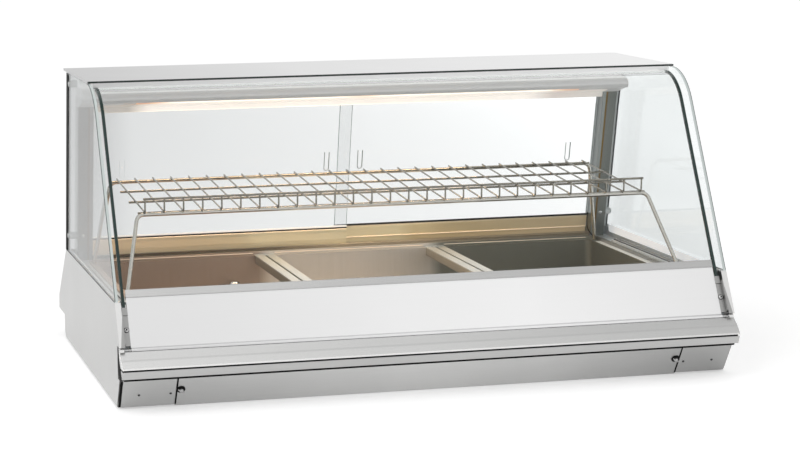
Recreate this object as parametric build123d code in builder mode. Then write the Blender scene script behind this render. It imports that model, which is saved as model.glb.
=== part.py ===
from build123d import *

import os
from math import atan2, cos, degrees, hypot, radians, sin, sqrt, tan

# Hot buffet counter: a heated counter-top display with three wells, a glass hood with a
# tilting front, sliding rear doors, a lamp canopy and a loose wire shelf.
# Millimetres. X runs along the counter, -Y faces the guest, +Z is up, origin under the middle.

# Overall sizes and shared clearances
overall_width = 1100.0
overall_depth = 825.0
overall_height = 533.0
sheet = 1.5
slide_gap = 0.5
turn_gap = 0.3

# Side panels of the base, seen from the side
side_flange = 10.0
side_top = 182.0
front_angle = 60.0
front_setback = 66.5
rear_setback = 133.5
rear_lean = 14.0
foot_height = 3.0
base_front_top = 56.0
base_front_setback = 26.0
base_front_run = 38.0
notch_gap = 1.0
tip_top = 74.0
tip_bottom = 46.0
tip_lean = 6.5
overhang = 81.5
heel_height = 13.0
heel_run = 11.0

# Feet and base tray
foot_radius = 15.0
foot_inset = 60.0
tray_front_gap = 1.0
tray_tab = 14.0

# Front corner pieces and the service cover between them
cover_margin = 97.0
cover_drop = 2.0
cover_screw_from_edge = 8.0
cover_screw_radius = 6.5
cover_screw_height = 6.0
cover_screw_level = 33.0
cover_washer = 1.0
rivet_level = 26.0
rivet_radius = 2.2
rivet_height = 1.2
rivet_from_edge = 24.0
rivet_from_seam = 8.5
corner_overlap = 5.0
corner_return = 8.0

# Bumper, black seal and lip along the front
bumper_depth = 50.0
lip_gap = 6.0
lip_height = 13.5
lip_lean = 6.0
seal_thickness = 3.0
seal_inset = 3.5
nose_thickness = 3.0
crease_run = 11.0
crease_rise = 14.3
crease_radius = 20.0
profile_wall = 2.0
lug_thickness = 8.0

# Tilting front
front_glass = 5.0
front_glass_inset = 11.0
panel_end_gap = 21.0
panel_rise = 24.0
hinge_drop = 82.0
hinge_rod_radius = 2.5
cap_height = 12.0
glass_drop = 13.0
glass_side_gap = 3.5
holder_height = 18.0
strip_top_drop = 20.0
strip_bottom_drop = 74.5
strip_screw_drop = 46.0
strip_screw_radius = 4.2
strip_screw_height = 3.0
screw_rounding = 1.2
clip_rise = 7.0

# Glass hood
glass = 6.0
hood_bend_radius = 110.0
hood_top_gap = 1.0
top_edge = 4.0
top_rear_overhang = 44.0
top_rail_height = 12.5
top_rail_foot = 12.0
glass_end_gap = 2.5
pane_bend_rise = 5.0
gasket = 1.5
rear_gasket = 3.0
gasket_leg = 4.0
gasket_cover = 16.0
gasket_skin = 0.6
fixing_radius = 4.6
fixing_hole = 5.0
fixing_collar = 7.0
lower_fixing_rise = 30.0

# Deck, tank and wells
deck_drop = 17.0
apron_gap = 4.5
front_margin = 30.0
rim_margin = 42.0
rim_flange = 4.0
rim_depth = 5.0
rim_post_gap = 1.0
ledge = 12.0
tank_depth = 107.0
tank_corner = 14.0
well_count = 3
divider_width = 38.0
divider_fold = 15.0
divider_end_gap = 1.0
groove_width = 5.0
groove_depth = 7.0
pad_thickness = 6.0
pad_margin = 22.0

# Drain at the rear of the left well
drain_wall_gap = 24.0
drain_divider_gap = 47.0
drain_radius = 15.0
drain_wall = 2.5
drain_pipe_radius = 8.0
overflow_height = 59.0
overflow_radius = 11.0
overflow_rounding = 7.0
overflow_foot = 3.0
overflow_foot_rim = 4.0
overflow_stub = 8.0
valve_length = 42.0
valve_radius = 11.0
boss_rise = 2.5
boss_wall = 2.5
stem_radius = 3.0
lever_length = 42.0
lever_width = 9.0
lever_thickness = 2.5
lever_gap = 2.0

# Controls and cable gland on the operator side
control_from_side = 210.0
control_length = 240.0
control_height = 84.0
control_corner = 6.0
control_plate = 1.0
knob_offset = -72.0
knob_radius = 21.0
knob_skirt = 6.0
knob_grip_radius = 16.5
knob_height = 18.0
knob_gap = 1.2
knob_rounding = 2.0
knob_shaft_radius = 3.0
knob_shaft_length = 14.0
switch_offset = 12.0
switch_pitch = 36.0
switch_width = 14.4
switch_length = 23.4
switch_rim = 3.0
switch_rim_height = 2.0
rocker_gap = 0.4
rocker_end_gap = 1.6
rocker_high = 4.5
rocker_middle = 2.2
rocker_low = 0.6
rocker_depth = 5.0
rocker_foot = 7.5
pilot_offset = 86.0
pilot_radius = 4.5
pilot_rim = 1.0
pilot_height = 3.5
pilot_rounding = 2.5
pilot_body = 13.0
gland_from_side = 70.0
gland_nut_radius = 10.0
gland_nut_length = 5.0
gland_radius = 7.2
gland_length = 14.0
gland_bore = 4.0
gland_hole = 5.5

# Rear posts, door tracks and sliding doors
post_inner_margin = 49.0
post_width = 29.0
post_depth = 39.0
post_wall = 2.0
post_flange_gap = 0.8
track_front_gap = 5.0
track_rear_gap = 3.0
track_height = 7.0
track_base = 2.0
track_groove = 6.0
upper_track_height = 11.0
upper_slot_cover = 3.0
upper_slot_gap = 1.0
door_glass = 5.0
door_pitch = 13.0
door_overlap = 21.0
door_meeting = -14.0
door_end_gap = 2.0
rear_door_inset = 17.5
door_rail_width = 9.0
door_rail_lift = 17.0
door_rail_height = 21.0
door_rail_base = 3.0
door_gasket = 6.0
door_top_gap = 2.0
tongue_width = 4.0
tongue_gap = 0.3
pull_height = 33.0
pull_width = 10.0
pull_depth = 1.5
pull_from_post = 51.0
pull_from_end = 45.5
pull_rise = 139.0

# Lamp canopy
canopy_drop = 68.0
canopy_lip_drop = 53.0
canopy_face_drop = 38.0
canopy_shoulder_drop = 24.5
canopy_reach = 60.4
canopy_shoulder_run = 22.0
canopy_rise_run = 64.0
canopy_rounding = 5.0
canopy_brow = 14.0
lamp_count = 3
lamp_pitch = 330.0
lamp_length = 210.0
lamp_radius = 5.0
lamp_rise = 14.0
window_length = 250.0
window_width = 38.0
reflector_sheet = 1.0
reflector_half_bottom = 26.0
reflector_half_top = 13.0
reflector_drop = 5.0
reflector_rise = 14.0
holder_length = 12.0
holder_half = 8.0

# Wire shelf
rod_radius = 3.5
rod_bend = 14.0
shelf_inset = 80.0
rod_inset = 74.0
shelf_front_z = 300.0
shelf_front_gap = 112.5
shelf_rear_z = 320.0
shelf_rear_gap = 24.0
front_foot_from_rim = 80.5
rear_foot_from_rim = 21.0
foot_rest_gap = 0.2
wire_radius = 1.5
wire_tail = 6.0
wire_front = 6.0
wire_bend = 4.5
wire_end_inset = 7.0
cross_wire_count = 28
fence_height = 24.0
long_wire_radius = 2.0
long_wire_count = 4
long_wire_tail = 4.0
long_wire_gap = 1.0
fence_tail = 3.0
weld = 0.3

# Places that follow from the sizes above
half_width = overall_width / 2
inner_half = half_width - side_flange
nose_y = -overall_depth / 2
tip_y = overall_depth / 2
front_edge_y = nose_y + front_setback
rear_edge_y = tip_y - rear_setback
rear_wall_y = tip_y - overhang
bumper_back_y = nose_y + bumper_depth
notch_y = bumper_back_y + sheet
base_front_y = nose_y + base_front_setback
base_front_foot_y = base_front_y + base_front_run
front_cos = cos(radians(front_angle))
front_sin = sin(radians(front_angle))
lean_rate = tan(radians(rear_lean))
deck_z = side_top - deck_drop
top_underside = overall_height - top_edge
hood_top = top_underside - hood_top_gap


def front_y(z, inset=0.0):
    """Y of the sloping guest side at height z, set back square to the slope by inset."""
    return front_edge_y + (z - side_top) * front_cos / front_sin + inset / front_sin


def rear_y(z, inset=0.0):
    """Y of the leaning operator side of the hood at height z, set forward by inset."""
    return rear_edge_y - (z - side_top) * lean_rate - inset


def on_front(up, out):
    """(Y, Z) at a distance up the guest slope from the side panel top, and out of it."""
    return (
        front_edge_y + up * front_cos - out * front_sin,
        side_top + up * front_sin + out * front_cos,
    )


def folded(points, thickness):
    """Outline of a sheet folded along points, its thickness on the right of the path."""
    runs = [(b[0] - a[0], b[1] - a[1]) for a, b in zip(points, points[1:])]
    normals = [(dz / hypot(dy, dz), -dy / hypot(dy, dz)) for dy, dz in runs]
    inner = []
    for (y, z), m, n in zip(points, normals[:1] + normals, normals + normals[-1:]):
        reach = thickness / (1 + m[0] * n[0] + m[1] * n[1])
        inner.append((y + reach * (m[0] + n[0]), z + reach * (m[1] + n[1])))
    return list(points) + inner[::-1]


def leaning(bottom, top, front_inset, rear_inset):
    """Outline between two heights and two insets from the leaning operator side."""
    return [
        (rear_y(bottom, front_inset), bottom),
        (rear_y(bottom, rear_inset), bottom),
        (rear_y(top, rear_inset), top),
        (rear_y(top, front_inset), top),
    ]


def about(inset, width):
    """Front and rear inset of a strip of a given width centred on an inset."""
    return (inset + width / 2, inset - width / 2)


def slab(up_from, up_to, out_from, out_to):
    """Outline of a slab lying along the guest slope."""
    return [
        on_front(up_from, out_from),
        on_front(up_from, out_to),
        on_front(up_to, out_to),
        on_front(up_to, out_from),
    ]


def span(y_from, y_to, z_from, z_to):
    """Outline of an upright rectangle in the side view."""
    return [(y_from, z_from), (y_to, z_from), (y_to, z_to), (y_from, z_to)]


def save(piece, name):
    """Label a finished piece and write it to its STEP file."""
    piece.label = name
    export_step(piece, f"parts/{name}.step")


os.makedirs("parts", exist_ok=True)

# Hinge line of the tilting front, which the bumper lugs and the side panels make room for
panel_in = -front_glass_inset
panel_out = panel_in + sheet
hinge_y, hinge_z = on_front(-hinge_drop, (panel_out + panel_in) / 2)
knuckle_bore = hinge_rod_radius + turn_gap
knuckle_radius = knuckle_bore + sheet
knuckle_room = knuckle_radius + 2 * slide_gap
notch_top = hinge_z + knuckle_room + notch_gap
lower_setback = corner_return + slide_gap

# Side panels: flanged sheets that carry everything else
side_outline = [
    (base_front_foot_y + lower_setback, foot_height),
    (base_front_y + lower_setback, base_front_top),
    (notch_y, base_front_top),
    (notch_y, notch_top),
    (front_y(notch_top), notch_top),
    (front_edge_y, side_top),
    (rear_edge_y, side_top),
    (tip_y - tip_lean, tip_top),
    (tip_y, tip_bottom),
    (rear_wall_y, tip_bottom),
    (rear_wall_y, heel_height),
    (rear_wall_y - heel_run, foot_height),
]
with BuildPart() as side_panel_right:
    with BuildSketch(Plane.YZ.offset(inner_half)):
        Polygon(*side_outline, align=None)
    extrude(amount=side_flange)
    with BuildSketch(Plane.YZ.offset(inner_half)):
        Polygon(*side_outline, align=None)
        offset(amount=-sheet, kind=Kind.INTERSECTION, mode=Mode.REPLACE)
    extrude(amount=side_flange - sheet, mode=Mode.SUBTRACT)
save(side_panel_right.part, "side_panel_right")

with BuildPart() as side_panel_left:
    mirror(side_panel_right.part, about=Plane.YZ)
save(side_panel_left.part, "side_panel_left")

# Places of the drain and the wells, which several pieces share
apron_inset = front_glass_inset + front_glass + sheet + apron_gap
apron_z = side_top + (bumper_back_y - front_y(side_top, apron_inset)) * front_sin / front_cos
deck_front_y = front_y(deck_z, apron_inset)
deck_rear_y = rear_edge_y - sheet
post_rear_inset = deck_drop * lean_rate + sheet + post_flange_gap
post_front_inset = post_rear_inset + post_depth
rim_rear_y = rear_y(deck_z, post_front_inset) - rim_flange - rim_post_gap
rim_front_y = deck_front_y + front_margin
rim_y = (rim_front_y + rim_rear_y) / 2
rim_length = rim_rear_y - rim_front_y
rim_half = half_width - rim_margin
rim_corner = tank_corner + ledge
tank_half = rim_half - ledge
tank_length = rim_length - 2 * ledge
tank_floor = deck_z - tank_depth
ledge_z = deck_z - rim_depth
well_width = (2 * tank_half - (well_count - 1) * divider_width) / well_count
well_pitch = well_width + divider_width
drain_x = -well_pitch / 2 - divider_width / 2 - drain_divider_gap
drain_y = rim_rear_y - ledge - drain_wall_gap
gland_x = inner_half - gland_from_side
control_x = inner_half - control_from_side
lever_z = tip_bottom - lever_gap - lever_thickness
drain_z = lever_z - boss_rise - valve_radius

# Base tray: the floor of the base, folded up behind as the lower rear wall
tray_front_y = base_front_foot_y + 2 * sheet + tray_front_gap
tray_rear_y = rear_wall_y - heel_run
tray_path = [
    (rear_wall_y, tip_bottom + sheet + tray_tab),
    (rear_wall_y, heel_height),
    (tray_rear_y, foot_height),
    (tray_front_y, foot_height),
]
with BuildPart() as base_tray:
    with BuildSketch(Plane.YZ):
        Polygon(*folded(tray_path, sheet), align=None)
    extrude(amount=inner_half, both=True)
    with BuildSketch(Plane.XZ.offset(-rear_wall_y)):
        with Locations((drain_x, drain_z)):
            Circle(drain_pipe_radius)
        with Locations((gland_x, drain_z)):
            Circle(gland_hole)
    extrude(amount=2 * sheet, mode=Mode.SUBTRACT)
save(base_tray.part, "base_tray")

with BuildPart() as feet:
    with BuildSketch(Plane.XY):
        with Locations((0, (tray_front_y + tray_rear_y) / 2)):
            with GridLocations(
                2 * (inner_half - foot_inset), tray_rear_y - tray_front_y - 2 * foot_inset, 2, 2
            ):
                Circle(foot_radius)
    extrude(amount=foot_height)
save(feet.part, "feet")

# Leaning base front: two riveted corner pieces and a service cover with two thumb screws
cover_half = half_width - cover_margin
corner_inner = cover_half + slide_gap
base_front_rate = (base_front_top - foot_height) / base_front_run
base_front_path = [
    (base_front_foot_y, foot_height),
    (base_front_y, base_front_top),
    (notch_y, base_front_top),
]
base_front_plane = Plane(
    origin=(0, base_front_foot_y, foot_height),
    x_dir=(1, 0, 0),
    z_dir=(0, -base_front_rate, -1),
)


def up_base_front(z):
    """Distance up the leaning base front to height z."""
    return (z - foot_height) * hypot(1, 1 / base_front_rate)


corner_outer = inner_half + corner_overlap
return_outline = [
    (base_front_foot_y, foot_height),
    (base_front_y, base_front_top),
    (base_front_y + corner_return, base_front_top),
    (base_front_foot_y + corner_return, foot_height),
]
for name, side in (("left", -1), ("right", 1)):
    with BuildPart() as base_corner:
        with BuildSketch(Plane.YZ.offset(side * corner_inner)):
            Polygon(*folded(base_front_path, sheet), align=None)
        extrude(amount=side * (inner_half - corner_inner))
        with BuildSketch(Plane.YZ.offset(side * inner_half)):
            Polygon(*folded(base_front_path[:2], sheet), align=None)
        extrude(amount=side * corner_overlap)
        with BuildSketch(Plane.YZ.offset(side * corner_outer)):
            Polygon(*return_outline, align=None)
        extrude(amount=-side * sheet)
    save(base_corner.part, f"base_corner_{name}")

rivet_places = [
    (side * x, up_base_front(rivet_level))
    for side in (-1, 1)
    for x in (inner_half - rivet_from_edge, corner_inner + rivet_from_seam)
]
with BuildPart() as corner_rivets:
    with BuildSketch(base_front_plane):
        with Locations(*rivet_places):
            Circle(rivet_radius)
    extrude(amount=rivet_height)
save(corner_rivets.part, "corner_rivets")

cover_path = [
    (base_front_foot_y + cover_drop / base_front_rate, foot_height - cover_drop),
    *base_front_path[1:],
]
with BuildPart() as service_cover:
    with BuildSketch(Plane.YZ):
        Polygon(*folded(cover_path, sheet), align=None)
    extrude(amount=cover_half, both=True)
save(service_cover.part, "service_cover")

cover_screw_x = cover_half - cover_screw_from_edge
cover_screw_places = [
    (-cover_screw_x, up_base_front(cover_screw_level)),
    (cover_screw_x, up_base_front(cover_screw_level)),
]
with BuildPart() as cover_screws:
    with BuildSketch(base_front_plane):
        with Locations(*cover_screw_places):
            Circle(cover_screw_radius + cover_washer)
    extrude(amount=cover_washer)
    with BuildSketch(base_front_plane.offset(cover_washer)):
        with Locations(*cover_screw_places):
            Circle(cover_screw_radius)
    extrude(amount=cover_screw_height)
save(cover_screws.part, "cover_screws")

# Bumper with a hinge lug at each end, black seal and lip below it
lip_bottom = base_front_top + lip_gap
lip_top = lip_bottom + lip_height
nose_bottom = lip_top + seal_thickness
bumper_half = half_width - slide_gap
lug_radius = knuckle_room
bumper_outline = [
    (bumper_back_y, nose_bottom),
    (nose_y, nose_bottom),
    (nose_y, nose_bottom + nose_thickness),
    (nose_y + crease_run, nose_bottom + crease_rise),
    (hinge_y - knuckle_room, hinge_z - sheet),
    (hinge_y - knuckle_room, hinge_z - knuckle_room),
    (bumper_back_y, hinge_z - knuckle_room),
]
crease_order = 2
with BuildPart() as bumper:
    with BuildSketch(Plane.YZ) as bumper_section:
        Polygon(*bumper_outline, align=None)
        fillet(bumper_section.vertices().sort_by(Axis.X)[crease_order], radius=crease_radius)
    extrude(amount=bumper_half, both=True)
    with BuildSketch(Plane.YZ) as bumper_hollow:
        Polygon(*bumper_outline, align=None)
        fillet(bumper_hollow.vertices().sort_by(Axis.X)[crease_order], radius=crease_radius)
        offset(amount=-profile_wall, kind=Kind.INTERSECTION, mode=Mode.REPLACE)
    extrude(amount=bumper_half - profile_wall, both=True, mode=Mode.SUBTRACT)
    for start in (-bumper_half, bumper_half - lug_thickness):
        with BuildSketch(Plane.YZ.offset(start)):
            with Locations((hinge_y, hinge_z)):
                Circle(lug_radius)
            Polygon(
                *span(hinge_y - lug_radius, hinge_y + lug_radius, nose_bottom, hinge_z),
                align=None,
            )
        extrude(amount=lug_thickness)
    with BuildSketch(Plane.YZ):
        with Locations((hinge_y, hinge_z)):
            Circle(hinge_rod_radius)
    extrude(amount=bumper_half, both=True, mode=Mode.SUBTRACT)
save(bumper.part, "bumper")

with BuildPart() as hinge_rod:
    with BuildSketch(Plane.YZ):
        with Locations((hinge_y, hinge_z)):
            Circle(hinge_rod_radius)
    extrude(amount=bumper_half, both=True)
save(hinge_rod.part, "hinge_rod")

with BuildPart() as bumper_seal:
    with BuildSketch(Plane.YZ):
        Polygon(*span(nose_y + seal_inset, bumper_back_y, lip_top, nose_bottom), align=None)
    extrude(amount=bumper_half - seal_inset, both=True)
save(bumper_seal.part, "bumper_seal")

lip_outline = [
    (bumper_back_y, lip_bottom),
    (nose_y + lip_lean, lip_bottom),
    (nose_y + slide_gap, lip_top),
    (bumper_back_y, lip_top),
]
with BuildPart() as front_lip:
    with BuildSketch(Plane.YZ):
        Polygon(*lip_outline, align=None)
    extrude(amount=bumper_half, both=True)
    with BuildSketch(Plane.YZ):
        Polygon(*lip_outline, align=None)
        offset(amount=-profile_wall, kind=Kind.INTERSECTION, mode=Mode.REPLACE)
    extrude(amount=bumper_half - profile_wall, both=True, mode=Mode.SUBTRACT)
save(front_lip.part, "front_lip")

# Deck with its front apron, side upstands and the opening for the tank
deck_path = [
    (bumper_back_y, base_front_top),
    (bumper_back_y, apron_z),
    (deck_front_y, deck_z),
    (deck_rear_y, deck_z),
]
deck_hole = sheet + slide_gap
with BuildPart() as deck:
    with BuildSketch(Plane.YZ):
        Polygon(*folded(deck_path, sheet), align=None)
    extrude(amount=inner_half, both=True)
    for start in (-inner_half, inner_half - sheet):
        with BuildSketch(Plane.YZ.offset(start)):
            Polygon(*span(deck_front_y + sheet, deck_rear_y, deck_z, side_top), align=None)
        extrude(amount=sheet)
    with BuildSketch(Plane.XY.offset(deck_z)):
        with Locations((0, rim_y)):
            RectangleRounded(
                2 * (rim_half + deck_hole), rim_length + 2 * deck_hole, rim_corner + deck_hole
            )
    extrude(amount=-2 * sheet, mode=Mode.SUBTRACT)
save(deck.part, "deck")

# Tank: one basin with a ledge for pans and a rim that lies on the deck
with BuildPart() as tank:
    with BuildSketch(Plane.XY.offset(tank_floor - sheet)):
        with Locations((0, rim_y)):
            RectangleRounded(2 * (tank_half + sheet), tank_length + 2 * sheet, tank_corner + sheet)
    extrude(amount=ledge_z - tank_floor + sheet)
    with BuildSketch(Plane.XY.offset(ledge_z - sheet)):
        with Locations((0, rim_y)):
            RectangleRounded(2 * (rim_half + sheet), rim_length + 2 * sheet, rim_corner + sheet)
    extrude(amount=rim_depth + sheet)
    with BuildSketch(Plane.XY.offset(deck_z)):
        with Locations((0, rim_y)):
            RectangleRounded(
                2 * (rim_half + rim_flange), rim_length + 2 * rim_flange, rim_corner + rim_flange
            )
    extrude(amount=sheet)
    with BuildSketch(Plane.XY.offset(tank_floor)):
        with Locations((0, rim_y)):
            RectangleRounded(2 * tank_half, tank_length, tank_corner)
    extrude(amount=tank_depth + sheet, mode=Mode.SUBTRACT)
    with BuildSketch(Plane.XY.offset(ledge_z)):
        with Locations((0, rim_y)):
            RectangleRounded(2 * rim_half, rim_length, rim_corner)
    extrude(amount=rim_depth + sheet, mode=Mode.SUBTRACT)
    with BuildSketch(Plane.XY.offset(tank_floor)):
        with Locations((drain_x, drain_y)):
            Circle(drain_radius)
    extrude(amount=-sheet, mode=Mode.SUBTRACT)
save(tank.part, "tank")

# Dividers between the wells: grooved bars that lie loose on the ledge
fold_length = tank_length - 2 * divider_end_gap
for name, x in (("left", -well_pitch / 2), ("right", well_pitch / 2)):
    with BuildPart() as divider:
        with BuildSketch(Plane.XY.offset(ledge_z)):
            with Locations((x, rim_y)):
                Rectangle(divider_width, rim_length - 2 * divider_end_gap)
        extrude(amount=sheet)
        with BuildSketch(Plane.XY.offset(ledge_z)):
            with Locations((x, rim_y)):
                Rectangle(divider_width, fold_length)
                Rectangle(divider_width - 2 * sheet, fold_length, mode=Mode.SUBTRACT)
        extrude(amount=-divider_fold)
        with BuildSketch(Plane.XY.offset(ledge_z)):
            with Locations((x, rim_y)):
                Rectangle(groove_width + 2 * sheet, fold_length)
        extrude(amount=-groove_depth)
        with BuildSketch(Plane.XY.offset(ledge_z + sheet)):
            with Locations((x, rim_y)):
                Rectangle(groove_width, fold_length - 2 * sheet)
        extrude(amount=-groove_depth, mode=Mode.SUBTRACT)
    save(divider.part, f"well_divider_{name}")

# Heating pads under the wells, clear of the drain
pad_front_y = rim_front_y + ledge + pad_margin
pad_rear_y = drain_y - drain_radius - drain_wall - pad_margin
with BuildPart() as heating_pads:
    with BuildSketch(Plane.XY.offset(tank_floor - sheet)):
        with Locations((0, (pad_front_y + pad_rear_y) / 2)):
            with GridLocations(well_pitch, 0, well_count, 1):
                Rectangle(well_width - 2 * pad_margin, pad_rear_y - pad_front_y)
    extrude(amount=-pad_thickness)
save(heating_pads.part, "heating_pads")

# Overflow pipe standing loose in the drain of the left well
with BuildPart() as overflow_pipe:
    with BuildSketch(Plane.XY.offset(tank_floor)):
        with Locations((drain_x, drain_y)):
            Circle(drain_radius + overflow_foot_rim)
    extrude(amount=overflow_foot)
    with BuildSketch(Plane.XY.offset(tank_floor)):
        with Locations((drain_x, drain_y)):
            Circle(overflow_radius)
    extrude(amount=overflow_height)
    with BuildSketch(Plane.XY.offset(tank_floor)):
        with Locations((drain_x, drain_y)):
            Circle(drain_radius - turn_gap)
    extrude(amount=-overflow_stub)
    fillet(overflow_pipe.faces().sort_by(Axis.Z)[-1].edges(), radius=overflow_rounding)
save(overflow_pipe.part, "overflow_pipe")

# Drain fitting under the tank floor with its pipe to the operator side
drain_plane = Plane.XZ.offset(-drain_y)
drain_run = rear_wall_y - drain_y
throat_bottom = drain_z - drain_pipe_radius - drain_wall
with BuildPart() as drain_fitting:
    with BuildSketch(Plane.XY.offset(throat_bottom)):
        with Locations((drain_x, drain_y)):
            Circle(drain_radius + drain_wall)
    extrude(amount=tank_floor - sheet - throat_bottom)
    with BuildSketch(drain_plane):
        with Locations((drain_x, drain_z)):
            Circle(drain_pipe_radius)
    extrude(amount=-drain_run)
    with BuildSketch(Plane.XY.offset(throat_bottom + drain_wall)):
        with Locations((drain_x, drain_y)):
            Circle(drain_radius)
    extrude(amount=tank_floor - throat_bottom, mode=Mode.SUBTRACT)
    with BuildSketch(drain_plane):
        with Locations((drain_x, drain_z)):
            Circle(drain_pipe_radius - drain_wall)
    extrude(amount=-drain_run, mode=Mode.SUBTRACT)
save(drain_fitting.part, "drain_fitting")

# Drain valve behind the rear wall, under the overhang, with a quarter-turn lever
valve_plane = Plane.XZ.offset(-rear_wall_y)
valve_y = rear_wall_y + valve_length / 2
with BuildPart() as drain_valve:
    with BuildSketch(valve_plane):
        with Locations((drain_x, drain_z)):
            Circle(valve_radius)
    extrude(amount=-valve_length)
    with BuildSketch(Plane.XY.offset(drain_z)):
        with Locations((drain_x, valve_y)):
            Circle(stem_radius + boss_wall)
    extrude(amount=lever_z - turn_gap - drain_z)
    with BuildSketch(valve_plane):
        with Locations((drain_x, drain_z)):
            Circle(drain_pipe_radius - drain_wall)
    extrude(amount=-valve_length, mode=Mode.SUBTRACT)
    with BuildSketch(Plane.XY.offset(drain_z)):
        with Locations((drain_x, valve_y)):
            Circle(stem_radius + turn_gap)
    extrude(amount=lever_z - drain_z, mode=Mode.SUBTRACT)
save(drain_valve.part, "drain_valve")

with BuildPart() as drain_lever:
    with BuildSketch(Plane.XY.offset(drain_z)):
        with Locations((drain_x, valve_y)):
            Circle(stem_radius)
    extrude(amount=lever_z - drain_z)
    with BuildSketch(Plane.XY.offset(lever_z)):
        with Locations((drain_x - lever_length / 2, valve_y)):
            SlotOverall(lever_length + lever_width, lever_width)
    extrude(amount=lever_thickness)
save(drain_lever.part, "drain_lever")

with BuildPart() as cable_gland:
    with BuildSketch(valve_plane):
        with Locations((gland_x, drain_z)):
            RegularPolygon(gland_nut_radius, 6)
    extrude(amount=-gland_nut_length)
    with BuildSketch(valve_plane):
        with Locations((gland_x, drain_z)):
            Circle(gland_radius)
    extrude(amount=-gland_length)
    with BuildSketch(valve_plane):
        with Locations((gland_x, drain_z)):
            Circle(gland_bore)
    extrude(amount=-gland_length, mode=Mode.SUBTRACT)
save(cable_gland.part, "cable_gland")

# Operator side: sloping rear panel with its overhang
slope_top = (deck_rear_y, side_top)
slope_bottom = (tip_y - tip_lean, tip_top)
rear_path = [
    (deck_rear_y, deck_z - 2 * sheet),
    slope_top,
    slope_bottom,
    (tip_y, tip_bottom),
    (rear_wall_y, tip_bottom),
]
control_plane = Plane(
    origin=(
        control_x,
        (slope_top[0] + slope_bottom[0]) / 2,
        (slope_top[1] + slope_bottom[1]) / 2,
    ),
    x_dir=(-1, 0, 0),
    z_dir=(0, slope_top[1] - slope_bottom[1], slope_bottom[0] - slope_top[0]),
)
control_axis = Axis(control_plane.origin, control_plane.z_dir)
shaft_hole = knob_shaft_radius + turn_gap
switch_places = [
    (switch_offset - switch_pitch / 2, 0),
    (switch_offset + switch_pitch / 2, 0),
]
with BuildPart() as rear_panel:
    with BuildSketch(Plane.YZ):
        Polygon(*folded(rear_path, sheet), align=None)
    extrude(amount=inner_half, both=True)
    with BuildSketch(control_plane):
        with Locations((knob_offset, 0)):
            Circle(shaft_hole)
        with Locations((pilot_offset, 0)):
            Circle(pilot_radius)
        with Locations(*switch_places):
            Rectangle(switch_width, switch_length)
    extrude(amount=-2 * sheet, mode=Mode.SUBTRACT)
save(rear_panel.part, "rear_panel")

# Control plate with the thermostat knob, two rocker switches and a pilot light
with BuildPart() as control_face:
    with BuildSketch(control_plane):
        RectangleRounded(control_length, control_height, control_corner)
        with Locations((knob_offset, 0)):
            Circle(shaft_hole, mode=Mode.SUBTRACT)
        with Locations((pilot_offset, 0)):
            Circle(pilot_radius, mode=Mode.SUBTRACT)
        with Locations(*switch_places):
            Rectangle(switch_width, switch_length, mode=Mode.SUBTRACT)
    extrude(amount=control_plate)
save(control_face.part, "control_face")

knob_base = control_plate + knob_gap
with BuildPart() as thermostat_knob:
    with BuildSketch(control_plane.offset(knob_base)):
        with Locations((knob_offset, 0)):
            Circle(knob_radius)
    extrude(amount=knob_skirt)
    with BuildSketch(control_plane.offset(knob_base + knob_skirt)):
        with Locations((knob_offset, 0)):
            Circle(knob_grip_radius)
    extrude(amount=knob_height - knob_skirt)
    fillet(thermostat_knob.faces().sort_by(control_axis)[-1].edges(), radius=knob_rounding)
    with BuildSketch(control_plane.offset(knob_base)):
        with Locations((knob_offset, 0)):
            Circle(knob_shaft_radius)
    extrude(amount=-knob_shaft_length)
save(thermostat_knob.part, "thermostat_knob")

with BuildPart() as switch_frames:
    with BuildSketch(control_plane.offset(control_plate)):
        with Locations(*switch_places):
            Rectangle(switch_width + 2 * switch_rim, switch_length + 2 * switch_rim)
            Rectangle(switch_width, switch_length, mode=Mode.SUBTRACT)
    extrude(amount=switch_rim_height)
save(switch_frames.part, "switch_frames")

rocker_reach = switch_length / 2 - rocker_end_gap
rocker_outline = [
    (-rocker_reach, rocker_high),
    (-rocker_foot, -rocker_depth),
    (rocker_foot, -rocker_depth),
    (rocker_reach, rocker_low),
    (0, rocker_middle),
]
for name, place in zip(("main", "light"), switch_places):
    rocker_plane = Plane(
        origin=control_plane.from_local_coords((*place, control_plate)),
        x_dir=control_plane.y_dir,
        z_dir=control_plane.x_dir,
    )
    with BuildPart() as rocker:
        with BuildSketch(rocker_plane):
            Polygon(*rocker_outline, align=None)
        extrude(amount=switch_width / 2 - rocker_gap, both=True)
    save(rocker.part, f"rocker_{name}")

with BuildPart() as pilot_light:
    with BuildSketch(control_plane.offset(control_plate)):
        with Locations((pilot_offset, 0)):
            Circle(pilot_radius + pilot_rim)
    extrude(amount=pilot_height)
    fillet(pilot_light.faces().sort_by(control_axis)[-1].edges(), radius=pilot_rounding)
    with BuildSketch(control_plane.offset(control_plate)):
        with Locations((pilot_offset, 0)):
            Circle(pilot_radius - slide_gap)
    extrude(amount=-pilot_body)
save(pilot_light.part, "pilot_light")

# Rear posts, leaning tubes between deck and canopy
canopy_underside = overall_height - canopy_drop
post_inner = half_width - post_inner_margin
for name, start in (("left", -post_inner - post_width), ("right", post_inner)):
    with BuildPart() as post:
        with BuildSketch(Plane.YZ.offset(start)):
            Polygon(
                *leaning(deck_z, canopy_underside, post_front_inset, post_rear_inset), align=None
            )
        extrude(amount=post_width)
        with BuildSketch(Plane.YZ.offset(start + post_wall)):
            Polygon(
                *leaning(
                    deck_z,
                    canopy_underside,
                    post_front_inset - post_wall,
                    post_rear_inset + post_wall,
                ),
                align=None,
            )
        extrude(amount=post_width - 2 * post_wall, mode=Mode.SUBTRACT)
    save(post.part, f"rear_post_{name}")

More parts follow.
